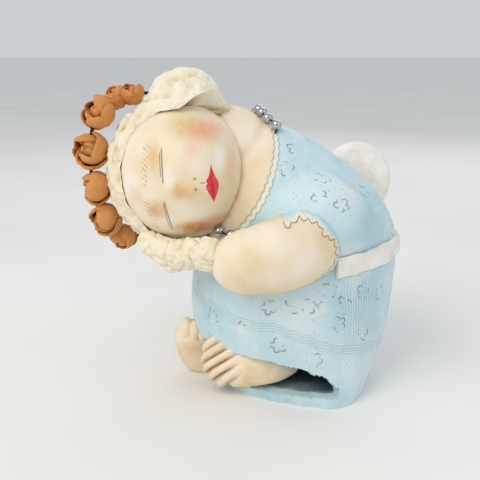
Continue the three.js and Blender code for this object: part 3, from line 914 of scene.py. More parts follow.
def dressMaterial():
    # earthenware under a blue underglaze wash, unglazed on top: chalky and soft, its tool marks darker in
    # their troughs and paler on their crests
    material, tree, shader, place = startMaterial("blueUnderglaze", 0.62, 0.4)
    colour, height = blueWash(tree, place)
    # combed bands, dragged with a toothed tool: grooves that follow the band's own line
    comb = addNode(tree, "Attribute", attribute_name="combGap").outputs["Fac"]
    waver = addNode(tree, "TexNoise", {"Vector": place, "Scale": perMm(12), "Detail": 1.0})
    moved = addNode(tree, "Math", {0: waver, 1: 2.2, 2: comb}, operation="MULTIPLY_ADD")
    phase = addNode(tree, "Math", {0: moved, 1: 2 * math.pi / wash["combPitch"]}, operation="MULTIPLY")
    ripple = addNode(tree, "Math", {0: phase}, operation="SINE")
    away = addNode(tree, "Math", {0: comb}, operation="ABSOLUTE")
    inBand = addNode(tree, "MapRange", {0: away, 1: 4.6, 2: 3.2})
    combed = addNode(tree, "Math", {0: ripple, 1: inBand}, operation="MULTIPLY")
    # upright grooves on the back of the skirt, at one spacing round it
    groove = addNode(tree, "Attribute", attribute_name="grooveTurn").outputs["Vector"]
    parts = addNode(tree, "SeparateXYZ", {0: groove})
    bent = addNode(tree, "Math", {0: waver, 1: 3.0, 2: parts.outputs[0]}, operation="MULTIPLY_ADD")
    groovePhase = addNode(tree, "Math", {0: bent, 1: 2 * math.pi / wash["groovePitch"]}, operation="MULTIPLY")
    grooveWave = addNode(tree, "Math", {0: groovePhase}, operation="SINE")
    patch = addNode(tree, "TexNoise", {"Vector": place, "Scale": perMm(30), "Detail": 1.0})
    patchHere = addNode(tree, "MapRange", {0: patch, 1: 0.38, 2: 0.55})
    grooveHere = addNode(tree, "Math", {0: patchHere, 1: parts.outputs[1]}, operation="MULTIPLY")
    grooved = addNode(tree, "Math", {0: grooveWave, 1: grooveHere}, operation="MULTIPLY")
    lines = addNode(tree, "Math", {0: combed, 1: grooved}, operation="ADD")
    # troughs darker, from the wash pooling and painted shade; crests rubbed paler
    low = addNode(tree, "MapRange", {0: lines, 1: -0.3, 2: -1.0, 3: 0.0, 4: 0.3})
    colour = addNode(tree, "Mix", {0: low, 6: colour, 7: wash["recess"]}, data_type="RGBA")
    high = addNode(tree, "MapRange", {0: lines, 1: 0.3, 2: 1.0, 3: 0.0, 4: 0.45})
    colour = addNode(tree, "Mix", {0: high, 6: colour, 7: wash["rubbed"]}, data_type="RGBA")
    # five-petalled stamps pressed into the clay, each only partly printed
    spot = addNode(tree, "Attribute", attribute_name="stampSpot").outputs["Vector"]
    across = addNode(tree, "SeparateXYZ", {0: spot})
    flat = addNode(tree, "CombineXYZ", {0: across.outputs[0], 1: across.outputs[1]})
    reach = addNode(tree, "VectorMath", {0: flat}, operation="LENGTH").outputs["Value"]
    turn = addNode(tree, "Math", {0: across.outputs[1], 1: across.outputs[0]}, operation="ARCTAN2")
    half = addNode(tree, "Math", {0: turn, 1: 2.5}, operation="MULTIPLY")
    lobe = addNode(tree, "Math", {0: half}, operation="SINE")
    lobe = addNode(tree, "Math", {0: lobe}, operation="ABSOLUTE")
    lobe = addNode(tree, "Math", {0: lobe, 1: 0.6}, operation="POWER")
    outline = addNode(tree, "Math", {0: lobe, 1: 2.9, 2: 2.3}, operation="MULTIPLY_ADD")
    off = addNode(tree, "Math", {0: reach, 1: outline}, operation="SUBTRACT")
    off = addNode(tree, "Math", {0: off}, operation="ABSOLUTE")
    line = addNode(tree, "MapRange", {0: off, 1: 0.55, 2: 0.2})
    near = addNode(tree, "MapRange", {0: across.outputs[2], 1: 8.0, 2: 7.0})
    worn = addNode(tree, "TexNoise", {"Vector": place, "Scale": perMm(5.5), "Detail": 2.0})
    printed = addNode(tree, "MapRange", {0: worn, 1: 0.47, 2: 0.56})
    stamp = addNode(tree, "Math", {0: line, 1: near}, operation="MULTIPLY")
    stamp = addNode(tree, "Math", {0: stamp, 1: printed}, operation="MULTIPLY")
    ink = addNode(tree, "Math", {0: stamp, 1: 0.62}, operation="MULTIPLY")
    colour = addNode(tree, "Mix", {0: ink, 6: colour, 7: wash["stamp"]}, data_type="RGBA")
    # the neckline: cream skin beyond it, and a double scalloped edge
    skinColour, skinHeight = creamSlip(tree, place)
    neckGap = addNode(tree, "Attribute", attribute_name="neckGap").outputs["Fac"]
    neckWave = addNode(tree, "Attribute", attribute_name="neckWave").outputs["Fac"]
    scalloped = addNode(tree, "Math", {0: neckGap, 1: neckWave}, operation="ADD")
    bare = addNode(tree, "MapRange", {0: scalloped, 1: -0.3, 2: 0.3})
    lace = edgeBand(tree, neckGap, neckWave, -3.4, -1.0)
    colour = addNode(tree, "Mix", {0: lace, 6: colour, 7: wash["edge"]}, data_type="RGBA")
    colour = addNode(tree, "Mix", {0: bare, 6: colour, 7: skinColour}, data_type="RGBA")
    rim = edgeBand(tree, neckGap, neckWave, -0.3, 0.1)
    colour = addNode(tree, "Mix", {0: rim, 6: colour, 7: "#D8BC8E"}, data_type="RGBA")
    fold = edgeBand(tree, neckGap, neckWave, -3.9, -3.4)
    colour = addNode(tree, "Mix", {0: fold, 6: colour, 7: wash["recess"]}, data_type="RGBA")
    total = addNode(tree, "Math", {0: lines, 1: 0.30, 2: height}, operation="MULTIPLY_ADD")
    total = addNode(tree, "Math", {0: stamp, 1: -1.3, 2: total}, operation="MULTIPLY_ADD")
    total = addNode(tree, "Math", {0: rim, 1: -1.0, 2: total}, operation="MULTIPLY_ADD")
    finishMaterial(tree, shader, colour, total, 0.45)
    return material


paint = {                         # all in mm from the face's centre
    "tintsShadeAndHighlights": [                    # x, z, half-sizes along x and z, colour and strength
        (7.0, 35.0, 27.0, 15.0, "#D6C48C", 0.5),
        (3.0, 31.0, 15, 9, "#D9B25E", 0.55),
        (15.5, 30.0, 15, 8.5, "#EFA27C", 0.85),
        (9.0, 20.0, 7, 8, "#F3BDA0", 0.45),
        # ochre beside the nose: painted shade of its bump
        (1.0, -5.0, 9, 7, "#D49A45", 0.75),
        (8.0, -6.0, 8, 6, "#E3B673", 0.45),
        # ochre in the eye hollows: ochre paint, and painted shade
        (-15.0, 16.0, 6, 11, "#D8A95C", 0.60),
        (-14.5, -18.5, 9, 8, "#D3973F", 0.75),
        (5.0, -30.5, 12, 7, "#CF902F", 0.80),
        (14.0, -31.0, 13, 8, "#D07A22", 0.90),
        (23.0, -26.0, 11, 6, "#EBA573", 0.65),
        (31.5, 10.0, 5, 15, "#EDB98C", 0.55),
        (-27.0, -10.0, 7, 10, "#E2B67A", 0.45),
        # painted highlights: pale spots where light falls on the face
        (-6.0, 2.0, 6, 12, "#FCF5E6", 0.70),
        (25.0, 13.0, 5, 11, "#FDF6EA", 0.75),
        (10.0, 9.0, 8, 9, "#FBF1E1", 0.60),
    ],
    "lines": [                     # both closed eyes: x, z, turn in degrees, half-length, half-width
        (-9.6, 9.4, 3.0, 11.0, 0.3),
        (-10.9, 10.0, 3.5, 8.0, 0.12),
        (-6.9, -22.5, 11.0, 11.0, 0.3),
        (-8.3, -22.0, 9.5, 9.0, 0.12),
        (15.0, -0.6, 84.0, 2.2, 0.22),
    ],
    "holes": [(10.2, 2.0, 0.75), (10.9, -4.4, 0.75)],  # nostrils: x, z and radius
    "brows": [(-20.8, 9.0, -4, 2.1, 13.5), (-18.0, -23.5, 14, 1.9, 12.5)],  # as the lines, half-width first
    "browPitch": 2.9,
    "lips": (20.4, -1.1, 4.0, 13.0),  # x, z, half-width and half-length
    "upperLip": [(0, 0), (0.2, 0.22), (0.36, 0.6), (0.45, 0.88), (0.49, 0.74), (0.55, 0.97),
                 (0.68, 0.78), (0.84, 0.35), (1, 0)],
    "lowerLip": [(0, 0), (0.2, 0.3), (0.4, 0.72), (0.55, 1.0), (0.7, 0.8), (0.86, 0.42), (1, 0)],
}


def faceMaterial():
    # the same cream slip, with the face drawn on it in thin washes and fine scratched lines, and painted
    # shade and painted highlights laid on in soft spots
    material, tree, shader, place = startMaterial("paintedSlip", 0.5, 0.45)
    colour, grain = creamSlip(tree, place)
    middle = toMetres(face["centre"])
    local = addNode(tree, "VectorMath", {0: place, 1: tuple(middle)}, operation="SUBTRACT")
    inMm = addNode(tree, "VectorMath", {0: local, 3: 1000.0}, operation="SCALE")
    flat = addNode(tree, "VectorMath", {0: inMm, 1: (1, 0, 1)}, operation="MULTIPLY")
    depth = addNode(tree, "SeparateXYZ", {0: inMm}).outputs[1]
    front = addNode(tree, "MapRange", {0: depth, 1: -6.0, 2: -12.0})
    brush = addNode(tree, "TexNoise", {"Vector": place, "Scale": perMm(4), "Detail": 4.0})
    brush = addNode(tree, "MapRange", {0: brush, 1: 0.25, 2: 0.75, 3: 0.65, 4: 1.2})
    # soft spots of blush and tint, with painted shade at the nose and eyes and painted highlights
    for x, z, wide, tall, shade, strength in paint["tintsShadeAndHighlights"]:
        off = addNode(tree, "VectorMath", {0: flat, 1: (x, 0, z)}, operation="SUBTRACT")
        off = addNode(tree, "VectorMath", {0: off, 1: (wide, 1, tall)}, operation="DIVIDE")
        reach = addNode(tree, "VectorMath", {0: off}, operation="LENGTH").outputs["Value"]
        share = addNode(tree, "MapRange", {0: reach, 1: 1.15, 2: 0.0, 3: 0.0, 4: strength},
                        interpolation_type="SMOOTHSTEP")
        share = addNode(tree, "Math", {0: share, 1: brush}, operation="MULTIPLY")
        share = addNode(tree, "Math", {0: share, 1: front}, operation="MULTIPLY", use_clamp=True)
        colour = addNode(tree, "Mix", {0: share, 6: colour, 7: shade}, data_type="RGBA")
    cuts = []
    for x, z, turn, long, thin in paint["lines"]:
        axes = addNode(tree, "Mapping", {0: flat, 1: (x, 0, z), 2: (0, math.radians(-turn), 0)},
                       vector_type="TEXTURE")
        axes = addNode(tree, "VectorMath", {0: axes}, operation="ABSOLUTE")
        parts = addNode(tree, "SeparateXYZ", {0: axes})
        across = addNode(tree, "MapRange", {0: parts.outputs[0], 1: thin + 0.2, 2: thin - 0.15})
        ends = addNode(tree, "MapRange", {0: parts.outputs[2], 1: long, 2: long - 1.5})
        cuts.append(addNode(tree, "Math", {0: across, 1: ends}, operation="MULTIPLY"))
    for x, z, size in paint["holes"]:
        off = addNode(tree, "VectorMath", {0: flat, 1: (x, 0, z)}, operation="DISTANCE").outputs["Value"]
        cuts.append(addNode(tree, "MapRange", {0: off, 1: size + 0.25, 2: size - 0.35}))
    for x, z, turn, wide, tall in paint["brows"]:
        axes = addNode(tree, "Mapping", {0: flat, 1: (x, 0, z), 2: (0, math.radians(-turn), 0)},
                       vector_type="TEXTURE")
        parts = addNode(tree, "SeparateXYZ", {0: axes})
        slanted = addNode(tree, "Math", {0: parts.outputs[0], 1: 0.75, 2: parts.outputs[2]},
                          operation="MULTIPLY_ADD")
        hatch = addNode(tree, "Math", {0: slanted, 1: 2 * math.pi / paint["browPitch"]}, operation="MULTIPLY")
        hatch = addNode(tree, "Math", {0: hatch}, operation="SINE")
        hatch = addNode(tree, "MapRange", {0: hatch, 1: 0.72, 2: 0.95})
        sides = addNode(tree, "Math", {0: parts.outputs[0]}, operation="ABSOLUTE")
        sides = addNode(tree, "MapRange", {0: sides, 1: wide, 2: wide - 0.5})
        ends = addNode(tree, "Math", {0: parts.outputs[2]}, operation="ABSOLUTE")
        ends = addNode(tree, "MapRange", {0: ends, 1: tall, 2: tall - 1.0})
        hatch = addNode(tree, "Math", {0: hatch, 1: sides}, operation="MULTIPLY")
        broken = addNode(tree, "TexNoise", {"Vector": place, "Scale": perMm(2.4), "Detail": 1.0})
        broken = addNode(tree, "MapRange", {0: broken, 1: 0.4, 2: 0.5, 3: 0.0, 4: 0.7})
        ends = addNode(tree, "Math", {0: ends, 1: broken}, operation="MULTIPLY")
        cuts.append(addNode(tree, "Math", {0: hatch, 1: ends}, operation="MULTIPLY"))
    # lips: one leaf shape, its two sides read off curves from the upper tip to the lower
    lipX, lipZ, lipWide, lipTall = paint["lips"]
    axes = addNode(tree, "Mapping", {0: flat, 1: (lipX, 0, lipZ), 2: (0, math.radians(-4), 0)},
                   vector_type="TEXTURE")
    parts = addNode(tree, "SeparateXYZ", {0: axes})
    share = addNode(tree, "MapRange", {0: parts.outputs[2], 1: lipTall, 2: -lipTall})
    left = addNode(tree, "FloatCurve", {1: share}, paint["upperLip"])
    right = addNode(tree, "FloatCurve", {1: share}, paint["lowerLip"])
    toLeft = addNode(tree, "Math", {0: left, 1: lipWide, 2: parts.outputs[0]}, operation="MULTIPLY_ADD")
    toRight = addNode(tree, "Math", {0: right, 1: lipWide * 1.05}, operation="MULTIPLY")
    toRight = addNode(tree, "Math", {0: toRight, 1: parts.outputs[0]}, operation="SUBTRACT")
    inside = addNode(tree, "Math", {0: toLeft, 1: toRight}, operation="MINIMUM")
    lips = addNode(tree, "MapRange", {0: inside, 1: 0.05, 2: 0.4})
    lips = addNode(tree, "Math", {0: lips, 1: front}, operation="MULTIPLY")
    redShade = addNode(tree, "TexNoise", {"Vector": place, "Scale": perMm(3), "Detail": 3.0})
    red = addNode(tree, "ValToRGB", {0: redShade}, [(0.35, "#D32A3C"), (0.6, "#EC4F5C")])
    mouthLine = addNode(tree, "Math", {0: parts.outputs[0]}, operation="ABSOLUTE")
    mouthLine = addNode(tree, "MapRange", {0: mouthLine, 1: 1.1, 2: 0.1, 3: 0.0, 4: 0.5})
    red = addNode(tree, "Mix", {0: mouthLine, 6: red, 7: "#A5102C"}, data_type="RGBA")
    colour = addNode(tree, "Mix", {0: lips, 6: colour, 7: red}, data_type="RGBA")
    marks = cuts[0]
    for cut in cuts[1:]:
        marks = addNode(tree, "Math", {0: marks, 1: cut}, operation="MAXIMUM")
    marks = addNode(tree, "Math", {0: marks, 1: front}, operation="MULTIPLY")
    ink = addNode(tree, "Math", {0: marks, 1: 0.62}, operation="MULTIPLY")
    colour = addNode(tree, "Mix", {0: ink, 6: colour, 7: "#7A5628"}, data_type="RGBA")
    height = addNode(tree, "Math", {0: marks, 1: -3.0, 2: grain}, operation="MULTIPLY_ADD")
    finishMaterial(tree, shader, colour, height, 0.18)
    return material


def armMaterial():
    # cream slip below the sleeve's scalloped edge, blue wash above it
    material, tree, shader, place = startMaterial("sleeveAndSlip", 0.52, 0.45)
    skinColour, skinHeight = creamSlip(tree, place)
    clothColour = blueWash(tree, place)[0]
    gap = addNode(tree, "Attribute", attribute_name="sleeveGap").outputs["Fac"]
    wave = addNode(tree, "Attribute", attribute_name="sleeveWave").outputs["Fac"]
    scalloped = addNode(tree, "Math", {0: gap, 1: wave}, operation="ADD")
    cloth = addNode(tree, "MapRange", {0: scalloped, 1: -0.3, 2: 0.3})
    colour = addNode(tree, "Mix", {0: cloth, 6: skinColour, 7: clothColour}, data_type="RGBA")
    lace = edgeBand(tree, gap, wave, 0.3, 2.4)
    colour = addNode(tree, "Mix", {0: lace, 6: colour, 7: wash["edge"]}, data_type="RGBA")
    rim = edgeBand(tree, gap, wave, -0.5, 0.2)
    colour = addNode(tree, "Mix", {0: rim, 6: colour, 7: "#CFA36B"}, data_type="RGBA")
    height = addNode(tree, "Math", {0: cloth, 1: 2.0, 2: skinHeight}, operation="MULTIPLY_ADD")
    height = addNode(tree, "Math", {0: rim, 1: -1.5, 2: height}, operation="MULTIPLY_ADD")
    finishMaterial(tree, shader, colour, height, 0.25)
    return material


def clayMaterial(name, shades, recessShade, roughness, grainSize, depth, highShade=None, specular=0.35):
    # bare or slipped clay: three shades in clouds, darker in the recesses as painted shade, paler on the
    # ridges
    material, tree, shader, place = startMaterial(name, roughness, specular)
    broad = addNode(tree, "TexNoise", {"Vector": place, "Scale": perMm(16), "Detail": 5.0, "Roughness": 0.6})
    colour = addNode(tree, "ValToRGB", {0: broad}, list(zip((0.32, 0.5, 0.68), shades)))
    # painted shade: the recess colour laid into the recesses
    recess = addNode(tree, "Attribute", attribute_name="recess").outputs["Fac"]
    colour = addNode(tree, "Mix", {0: recess, 6: colour, 7: recessShade}, data_type="RGBA")
    if highShade:
        ridge = addNode(tree, "Attribute", attribute_name="ridge").outputs["Fac"]
        colour = addNode(tree, "Mix", {0: ridge, 6: colour, 7: highShade}, data_type="RGBA")
    grit = addNode(tree, "TexVoronoi", {"Vector": place, "Scale": perMm(grainSize * 3)})
    speck = addNode(tree, "MapRange", {0: grit, 1: 0.14, 2: 0.05, 3: 0.0, 4: 0.35})
    colour = addNode(tree, "Mix", {0: speck, 6: colour, 7: recessShade}, data_type="RGBA")
    fine = addNode(tree, "TexNoise", {"Vector": place, "Scale": perMm(grainSize), "Detail": 4.0})
    dents = addNode(tree, "TexNoise", {"Vector": place, "Scale": perMm(grainSize * 4), "Detail": 2.0})
    height = addNode(tree, "Math", {0: dents, 1: 2.0, 2: fine}, operation="MULTIPLY_ADD")
    finishMaterial(tree, shader, colour, height, depth)
    return material


def metalMaterial(name, shades, metallic, roughness, depth):
    # polished steel shows soft scratches, and the bent wire a dull oxide skin
    material, tree, shader, place = startMaterial(name, roughness, 0.5)
    shader.inputs["Metallic"].default_value = metallic
    tone = addNode(tree, "TexNoise", {"Vector": place, "Scale": perMm(3.5), "Detail": 4.0})
    colour = addNode(tree, "ValToRGB", {0: tone}, list(zip((0.3, 0.5, 0.7), shades)))
    finishMaterial(tree, shader, colour, tone, depth)
    return material


dressFinish, hollowFinish, skinFinish, hairFinish, footFinish, slipFinish, faceFinish = range(7)
figureFinishes = [                # inside the skirt grey-blue clay darkened as painted shade, and pale slips brushed on the rest
    dressMaterial(),
    # painted shade: the inside of the hollow, its grey-blue darkened throughout
    clayMaterial("hollowInPaintedShade", ("#6E8B93", "#86A3AA", "#A5BCC0"), "#2E4047", 0.4, 2.5, 0.8, specular=0.5),
    armMaterial(),
    clayMaterial("ivoryHairSlip", ("#E6D6AC", "#F1E5C6", "#F8F0DB"), "#A98A55", 0.6, 1.8, 0.7, "#FBF4E2"),
    clayMaterial("peachFootSlip", ("#EBCFA4", "#F3DFC0", "#F8EBD6"), "#A87B4C", 0.55, 1.8, 0.25),
    clayMaterial("whiteSlip", ("#EAE2D3", "#F5F0E6", "#FBF8F1"), "#B0A894", 0.65, 1.3, 0.45),
    faceMaterial(),
]
# the deep brown is painted shade between the petals
roseFinish = clayMaterial(
    "terracotta", ("#B5682B", "#C8803C", "#D79350"), "#5A2A0E", 0.7, 1.2, 0.35, "#E0A265", 0.3)
wireFinish = metalMaterial("oxidisedWire", ("#1D1613", "#2C211C", "#3B2D25"), 0.6, 0.6, 0.1)
steelFinish = metalMaterial("polishedSteel", ("#A9ABAE", "#BFC1C3", "#CFD1D2"), 1.0, 0.14, 0.02)


edges = {
    "hemRounding": 7,             # passes of smoothing along the mouth of the skirt and its foot
    "sleeve": [                   # the sleeve's scalloped edge on the near arm
        (26.1, -52.3, 126.8), (29.7, -54.9, 126.4), (35.1, -56.4, 129.6), (42, -58.6, 128.5),
        (49.1, -59.9, 125), (51, -60, 120.3), (58.1, -58.5, 115.2), (59.3, -56.5, 108.9), (60.1, -55, 105.1),
        (57.9, -54.2, 99.6), (52.9, -55.2, 93.8), (46, -50, 88),
    ],
    "sleeveScallop": (5.5, 1.0),  # length and height in mm of one scallop
    "neckline": (78.8, 21.2, 20, 84),  # mean place along the neck, swing, turn of its top, highest
    "neckScallops": (52, 0.55),   # how many round the neck, and their height in mm
}
combLine = [                      # turn round the skirt and height of the combed band
    (0, 30), (40, 33), (80, 42), (120, 53), (160, 61), (185, 65), (200, 65.5), (217, 64.5), (229, 61.8),
    (240, 58.6), (250, 57.2), (258.5, 58.2), (266.5, 54), (275.5, 50.3), (283, 45), (292, 41), (305, 39),
    (330, 35),
]
grooveAreas = [                   # turn and height of the middle of each grooved patch, and its half-sizes
    (315, 66, 24, 26), (352, 60, 18, 30), (30, 62, 22, 28), (75, 70, 20, 24),
]
stamps = [                        # middles of the stamped flowers
    (18.3, -59.1, 71.1), (33.3, -61.1, 72.7), (42.7, -61, 71.7), (49.5, -59.3, 77.4), (56.9, -56.6, 81.9),
    (66.8, -54.1, 72.1), (63.1, -56.6, 58.5), (2.3, -53.4, 53.7), (24.5, -60.3, 45.4), (48, -59.7, 35),
    (79.5, -45.5, 77.4), (92.8, -33.5, 71.6), (-29.8, -15.4, 70.5), (-18.1, -36.9, 56.9),
    (80.6, -46.3, 48.2), (35.8, -20.5, 166.4), (29.9, -32.5, 154.9), (52.4, -36.7, 149.8),
    (49.3, -53.4, 140.6), (62.7, -54.4, 135.9), (104, 20, 78), (98, 42, 62), (80, 64, 74), (58, 76, 58),
    (30, 80, 76), (4, 76, 60), (-22, 52, 66), (104, 2, 50), (70, 70, 40), (14, 74, 38), (44, 2, 158),
    (62, 24, 146), (28, 42, 146), (78, -14, 132), (40, 58, 132), (88, 30, 98), (94, -6, 104), (70, 62, 100),
    (46, 72, 104),
]


def roundHem(figure):
    # softens the cut edges of the skirt's mouth and the foot of the skirt, as wet fingers do
    bm = bmesh.new()
    bm.from_mesh(figure.data)
    sharp = [e for e in bm.edges if e.is_manifold and e.calc_face_angle() > 0.6]
    near = set()
    for edge in sharp:
        height = edge.verts[0].co.z * 1000
        finishes = {face.material_index for face in edge.link_faces}
        if 0.4 < height < 50 and finishes <= {dressFinish, hollowFinish}:
            near.update(edge.verts)
    for _ in range(2):
        near |= {other for v in near for e in v.link_edges for other in e.verts}
    soft = [v for v in near if v.co.z > 0.0003]
    for _ in range(edges["hemRounding"]):
        moved = {}
        for vertex in soft:
            close = [e.other_vert(vertex).co for e in vertex.link_edges if e.calc_length() < 0.004]
            if len(close) > 2:
                moved[vertex] = vertex.co.lerp(sum(close, Vector()) / len(close), 0.5)
        for vertex, spot in moved.items():
            vertex.co = spot
    bm.to_mesh(figure.data)
    bm.free()


def neighbourMean(values, pairs, counts):
    # for every vertex the mean of the values at the ends of its edges
    total = np.zeros_like(values)
    for k in range(values.shape[1]):
        total[:, k] = np.bincount(pairs[:, 0], values[pairs[:, 1], k], len(values))
        total[:, k] += np.bincount(pairs[:, 1], values[pairs[:, 0], k], len(values))
    return total / counts[:, None]


def addField(mesh, name, values):
    kind, key = ("FLOAT", "value") if values.ndim == 1 else ("FLOAT_VECTOR", "vector")
    made = mesh.attributes.new(name, kind, "POINT")
    made.data.foreach_set(key, np.ascontiguousarray(values, np.float32).ravel())


def addHollows(mesh, passes, recessDepth, ridgeHeight):
    # how far each vertex lies below or above its neighbourhood: darker in the hollows as painted shade, with
    # the wash also pooling there on the blue dress, and paler on the ridges
    count = len(mesh.vertices)
    spots, normals = np.zeros(count * 3, np.float32), np.zeros(count * 3, np.float32)
    mesh.vertices.foreach_get("co", spots)
    mesh.vertices.foreach_get("normal", normals)
    spots, normals = spots.reshape(-1, 3) * 1000.0, normals.reshape(-1, 3)
    pairs = np.zeros(len(mesh.edges) * 2, np.int32)
    mesh.edges.foreach_get("vertices", pairs)
    pairs = pairs.reshape(-1, 2)
    counts = np.maximum(np.bincount(pairs.ravel(), minlength=count), 1).astype(float)
    smooth = spots.astype(float)
    for _ in range(passes):
        smooth = neighbourMean(smooth, pairs, counts)
    depth = ((smooth - spots) * normals).sum(axis=1)
    depth = neighbourMean(depth[:, None], pairs, counts)[:, 0]
    addField(mesh, "recess", np.clip(depth / recessDepth, 0, 1) ** 1.2)
    addField(mesh, "ridge", np.clip(-depth / ridgeHeight, 0, 1) * 0.6)
    return spots + home


def distanceAlong(points, path):
    # seen from the front: distance to the path, place along it in mm, and 1 on its upper right side or -1
    line = curveThrough(path, 260)[:, (0, 2)]
    lengths = np.concatenate(([0], np.cumsum(np.linalg.norm(np.diff(line, axis=0), axis=1))))
    gap, along, side = np.full(len(points), 60.0), np.zeros(len(points)), np.full(len(points), -1.0)
    flat = points[:, (0, 2)]
    close = np.where((np.linalg.norm(flat - line.mean(axis=0), axis=1) < 45) & (points[:, 1] < -30))[0]
    ahead = np.gradient(line, axis=0)
    for part in np.array_split(close, max(1, len(close) // 4000)):
        away = np.linalg.norm(flat[part][:, None] - line[None], axis=2)
        best = away.argmin(axis=1)
        offset = flat[part] - line[best]
        gap[part] = away[np.arange(len(part)), best]
        along[part] = lengths[best]
        cross = ahead[best, 0] * offset[:, 1] - ahead[best, 1] * offset[:, 0]
        side[part] = np.where(best == 0, -1, np.sign(cross))
    return gap, along, side


def addPatterns(figure):
    # fields in mm that the materials draw their bands, edges, grooves and stamps from
    mesh = figure.data
    spots = addHollows(mesh, 10, 1.1, 0.9)
    turn = np.degrees(np.arctan2(spots[:, 1] - skirt["belly"][1], spots[:, 0] - skirt["belly"][0])) % 360
    addField(mesh, "combGap", np.clip(spots[:, 2] - aroundList(combLine, turn), -12, 12))
    area = np.zeros(len(spots))
    for middle, height, wide, tall in grooveAreas:
        off = (turn - middle + 180) % 360 - 180
        area = np.maximum(area, 1 - np.maximum(abs(off) / wide, abs(spots[:, 2] - height) / tall))
    offsets = np.array(turn - 180) * math.radians(70)
    addField(mesh, "grooveTurn", np.stack([offsets, np.clip(area * 3, 0, 1), area * 0], axis=1))
    # neckline
    away = spots - neckLow
    along = away @ neckAxis
    angle = np.degrees(np.arctan2(away @ neckTop, away @ neckFar))
    base, swing, lean, highest = edges["neckline"]
    line = np.minimum(base + swing * np.cos(np.radians(angle - lean)), highest)
    addField(mesh, "neckGap", np.clip(along - line, -15, 15))
    count, tall = edges["neckScallops"]
    addField(mesh, "neckWave", tall * np.cos(np.radians(angle) * count))
    # sleeve
    gap, place, side = distanceAlong(spots, edges["sleeve"])
    long, tall = edges["sleeveScallop"]
    addField(mesh, "sleeveGap", np.clip(gap * side, -15, 15))
    addField(mesh, "sleeveWave", tall * (abs(np.sin(place * np.pi / long)) * 2 - 1))
    # stamped flowers: where each vertex lies in the nearest flower's own plane
    middles = np.array(stamps, float)
    outward = middles - np.array(skirt["belly"], float) * (1, 1, 0) - (0, 0, 1) * middles[:, 2:] * 0.8
    chance = np.random.default_rng(7)
    local = np.tile((0.0, 0.0, 30.0), (len(spots), 1))
    nearest = np.full(len(spots), 14.0)
    for middle, out in zip(middles, outward):
        ray = (middle - torsoHeart) / np.linalg.norm(middle - torsoHeart)
        middle = pushedOut(ray[None], torsoHeart, torsoGap)[0]
        out = out / np.linalg.norm(out)
        right = np.cross((0, 0, 1), out)
        right /= np.linalg.norm(right)
        spin = chance.uniform(0, 2 * math.pi)
        up = np.cross(out, right)
        first = right * math.cos(spin) + up * math.sin(spin)
        second = up * math.cos(spin) - right * math.sin(spin)
        offset = spots - middle
        reach = np.linalg.norm(offset, axis=1)
        here = reach < nearest
        nearest[here] = reach[here]
        local[here] = np.stack([offset[here] @ first, offset[here] @ second, reach[here]], axis=1)
    addField(mesh, "stampSpot", local)


def lightenHair(figure):
    # the hair keeps fewer faces than its balls started with, and nothing else is thinned
    hairFaces = [face for face in figure.data.polygons if face.material_index == hairFinish]
    hairPoints = {vertex for face in hairFaces for vertex in face.vertices}
    group = figure.vertex_groups.new(name="hairPoints")
    group.add(sorted(hairPoints), 1.0, "REPLACE")
    triangles = sum(len(face.vertices) - 2 for face in figure.data.polygons)
    lighter = figure.modifiers.new("lighter", "DECIMATE")
    lighter.vertex_group = group.name
    lighter.ratio = hairCap["wholeFigureTriangles"] / triangles
    joinAll(figure, [])
    figure.vertex_groups.clear()
    print("hair lightened, figure from", triangles, "triangles to", len(figure.data.polygons), "faces")


def makeFigure():
    # every form of clay joined into one fired piece
    figure = makeDress()
    print("dress made:", len(figure.data.polygons), "faces")
    tools = [makeFace(), makeHair(), *makeLimbs(), makeWing("nearWing", *wings["near"])]
    tools += [makeWing("farWing", *wings["far"]), makeSash()]
    print("head, limbs, wings and sash made")
    figure = joinAll(figure, tools)
    figure = joinAll(figure, [blockBelow(0)], "DIFFERENCE")
    lightenHair(figure)
    roundHem(figure)
    figure.data.shade_smooth()
    figure.data.set_sharp_from_angle(angle=math.radians(50))
    addPatterns(figure)
    return figure


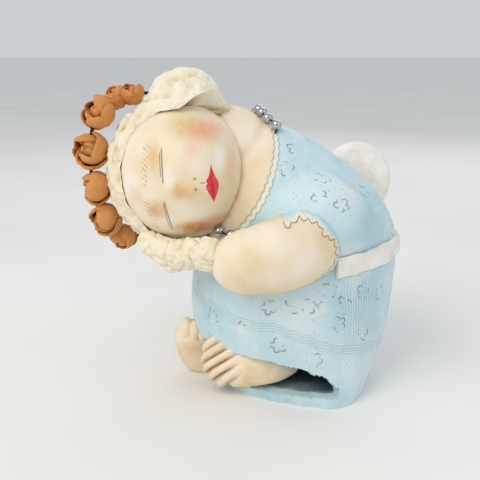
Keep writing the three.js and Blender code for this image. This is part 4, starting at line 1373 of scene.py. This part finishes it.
figure = makeFigure()
print("figure joined:", len(figure.data.polygons), "faces")
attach(figure, "root")
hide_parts("angel_figure")
for index, seat in enumerate(crown["seats"], 1):
    flower = makeRose(index, seat)
    finishPiece(flower, roseFinish, f"rose_{index}")
    flower.data.set_sharp_from_angle(angle=math.radians(50))
    addHollows(flower.data, 5, 0.45, 0.4)
crownWire = makeWire("crownWire", crownPath(), crown["wireDiameter"], wireFinish)
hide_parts("crown_wire")
makeNecklace()
print("roses, wires and beads made")


# Studio: a pale floor, one broad soft light from the upper left, a weaker one on the right, and a pale sky
studio = {
    "floor": "#F3F1EE",
    "size": 60,                   # half the floor's side in metres
    "sky": "#E8EDF2",
    "skyStrength": 0.74,
    "lights": [                   # name, place in metres, size in metres, watts, colour
        ("keyLight", (-0.75, -0.85, 1.15), 0.9, 10, "#FFF9F0"),
        ("fillLight", (1.1, -0.6, 0.7), 1.2, 1.5, "#F2F6FF"),
        ("backLight", (0.3, 1.1, 1.0), 1.0, 3, "#FFFFFF"),
    ],
}


def floorFinish():
    # matt studio paint with a faint cloudiness
    material, tree, shader, place = startMaterial("studioFloorPaint", 0.9, 0.1)
    broad = addNode(tree, "TexNoise", {"Vector": place, "Scale": perMm(300)})
    colour = addNode(tree, "ValToRGB", {0: broad}, [(0.3, "#EDEBE8"), (0.7, studio["floor"])])
    finishMaterial(tree, shader, colour, broad, 0.0)
    return material


def makeStudio():
    bm = bmesh.new()
    bmesh.ops.create_grid(bm, x_segments=1, y_segments=1, size=studio["size"])
    mesh = bpy.data.meshes.new("floor")
    bm.to_mesh(mesh)
    bm.free()
    floor = newObject("floor", mesh)
    floor.data.materials.append(floorFinish())
    for name, place, size, watts, colour in studio["lights"]:
        lamp = bpy.data.lights.new(name, "AREA")
        lamp.size = size
        lamp.energy = watts
        lamp.color = linear(colour)[:3]
        light = newObject(name, lamp)
        light.location = place
        light.rotation_euler = (Vector((0, 0, 0.1)) - Vector(place)).to_track_quat("-Z", "Y").to_euler()
    world = bpy.data.worlds.new("sky")
    world.use_nodes = True
    sky = world.node_tree.nodes["Background"]
    sky.inputs["Color"].default_value = linear(studio["sky"])
    sky.inputs["Strength"].default_value = studio["skyStrength"]
    scene.world = world
    scene.view_settings.view_transform = "Standard"


makeStudio()
bpy.context.view_layer.update()
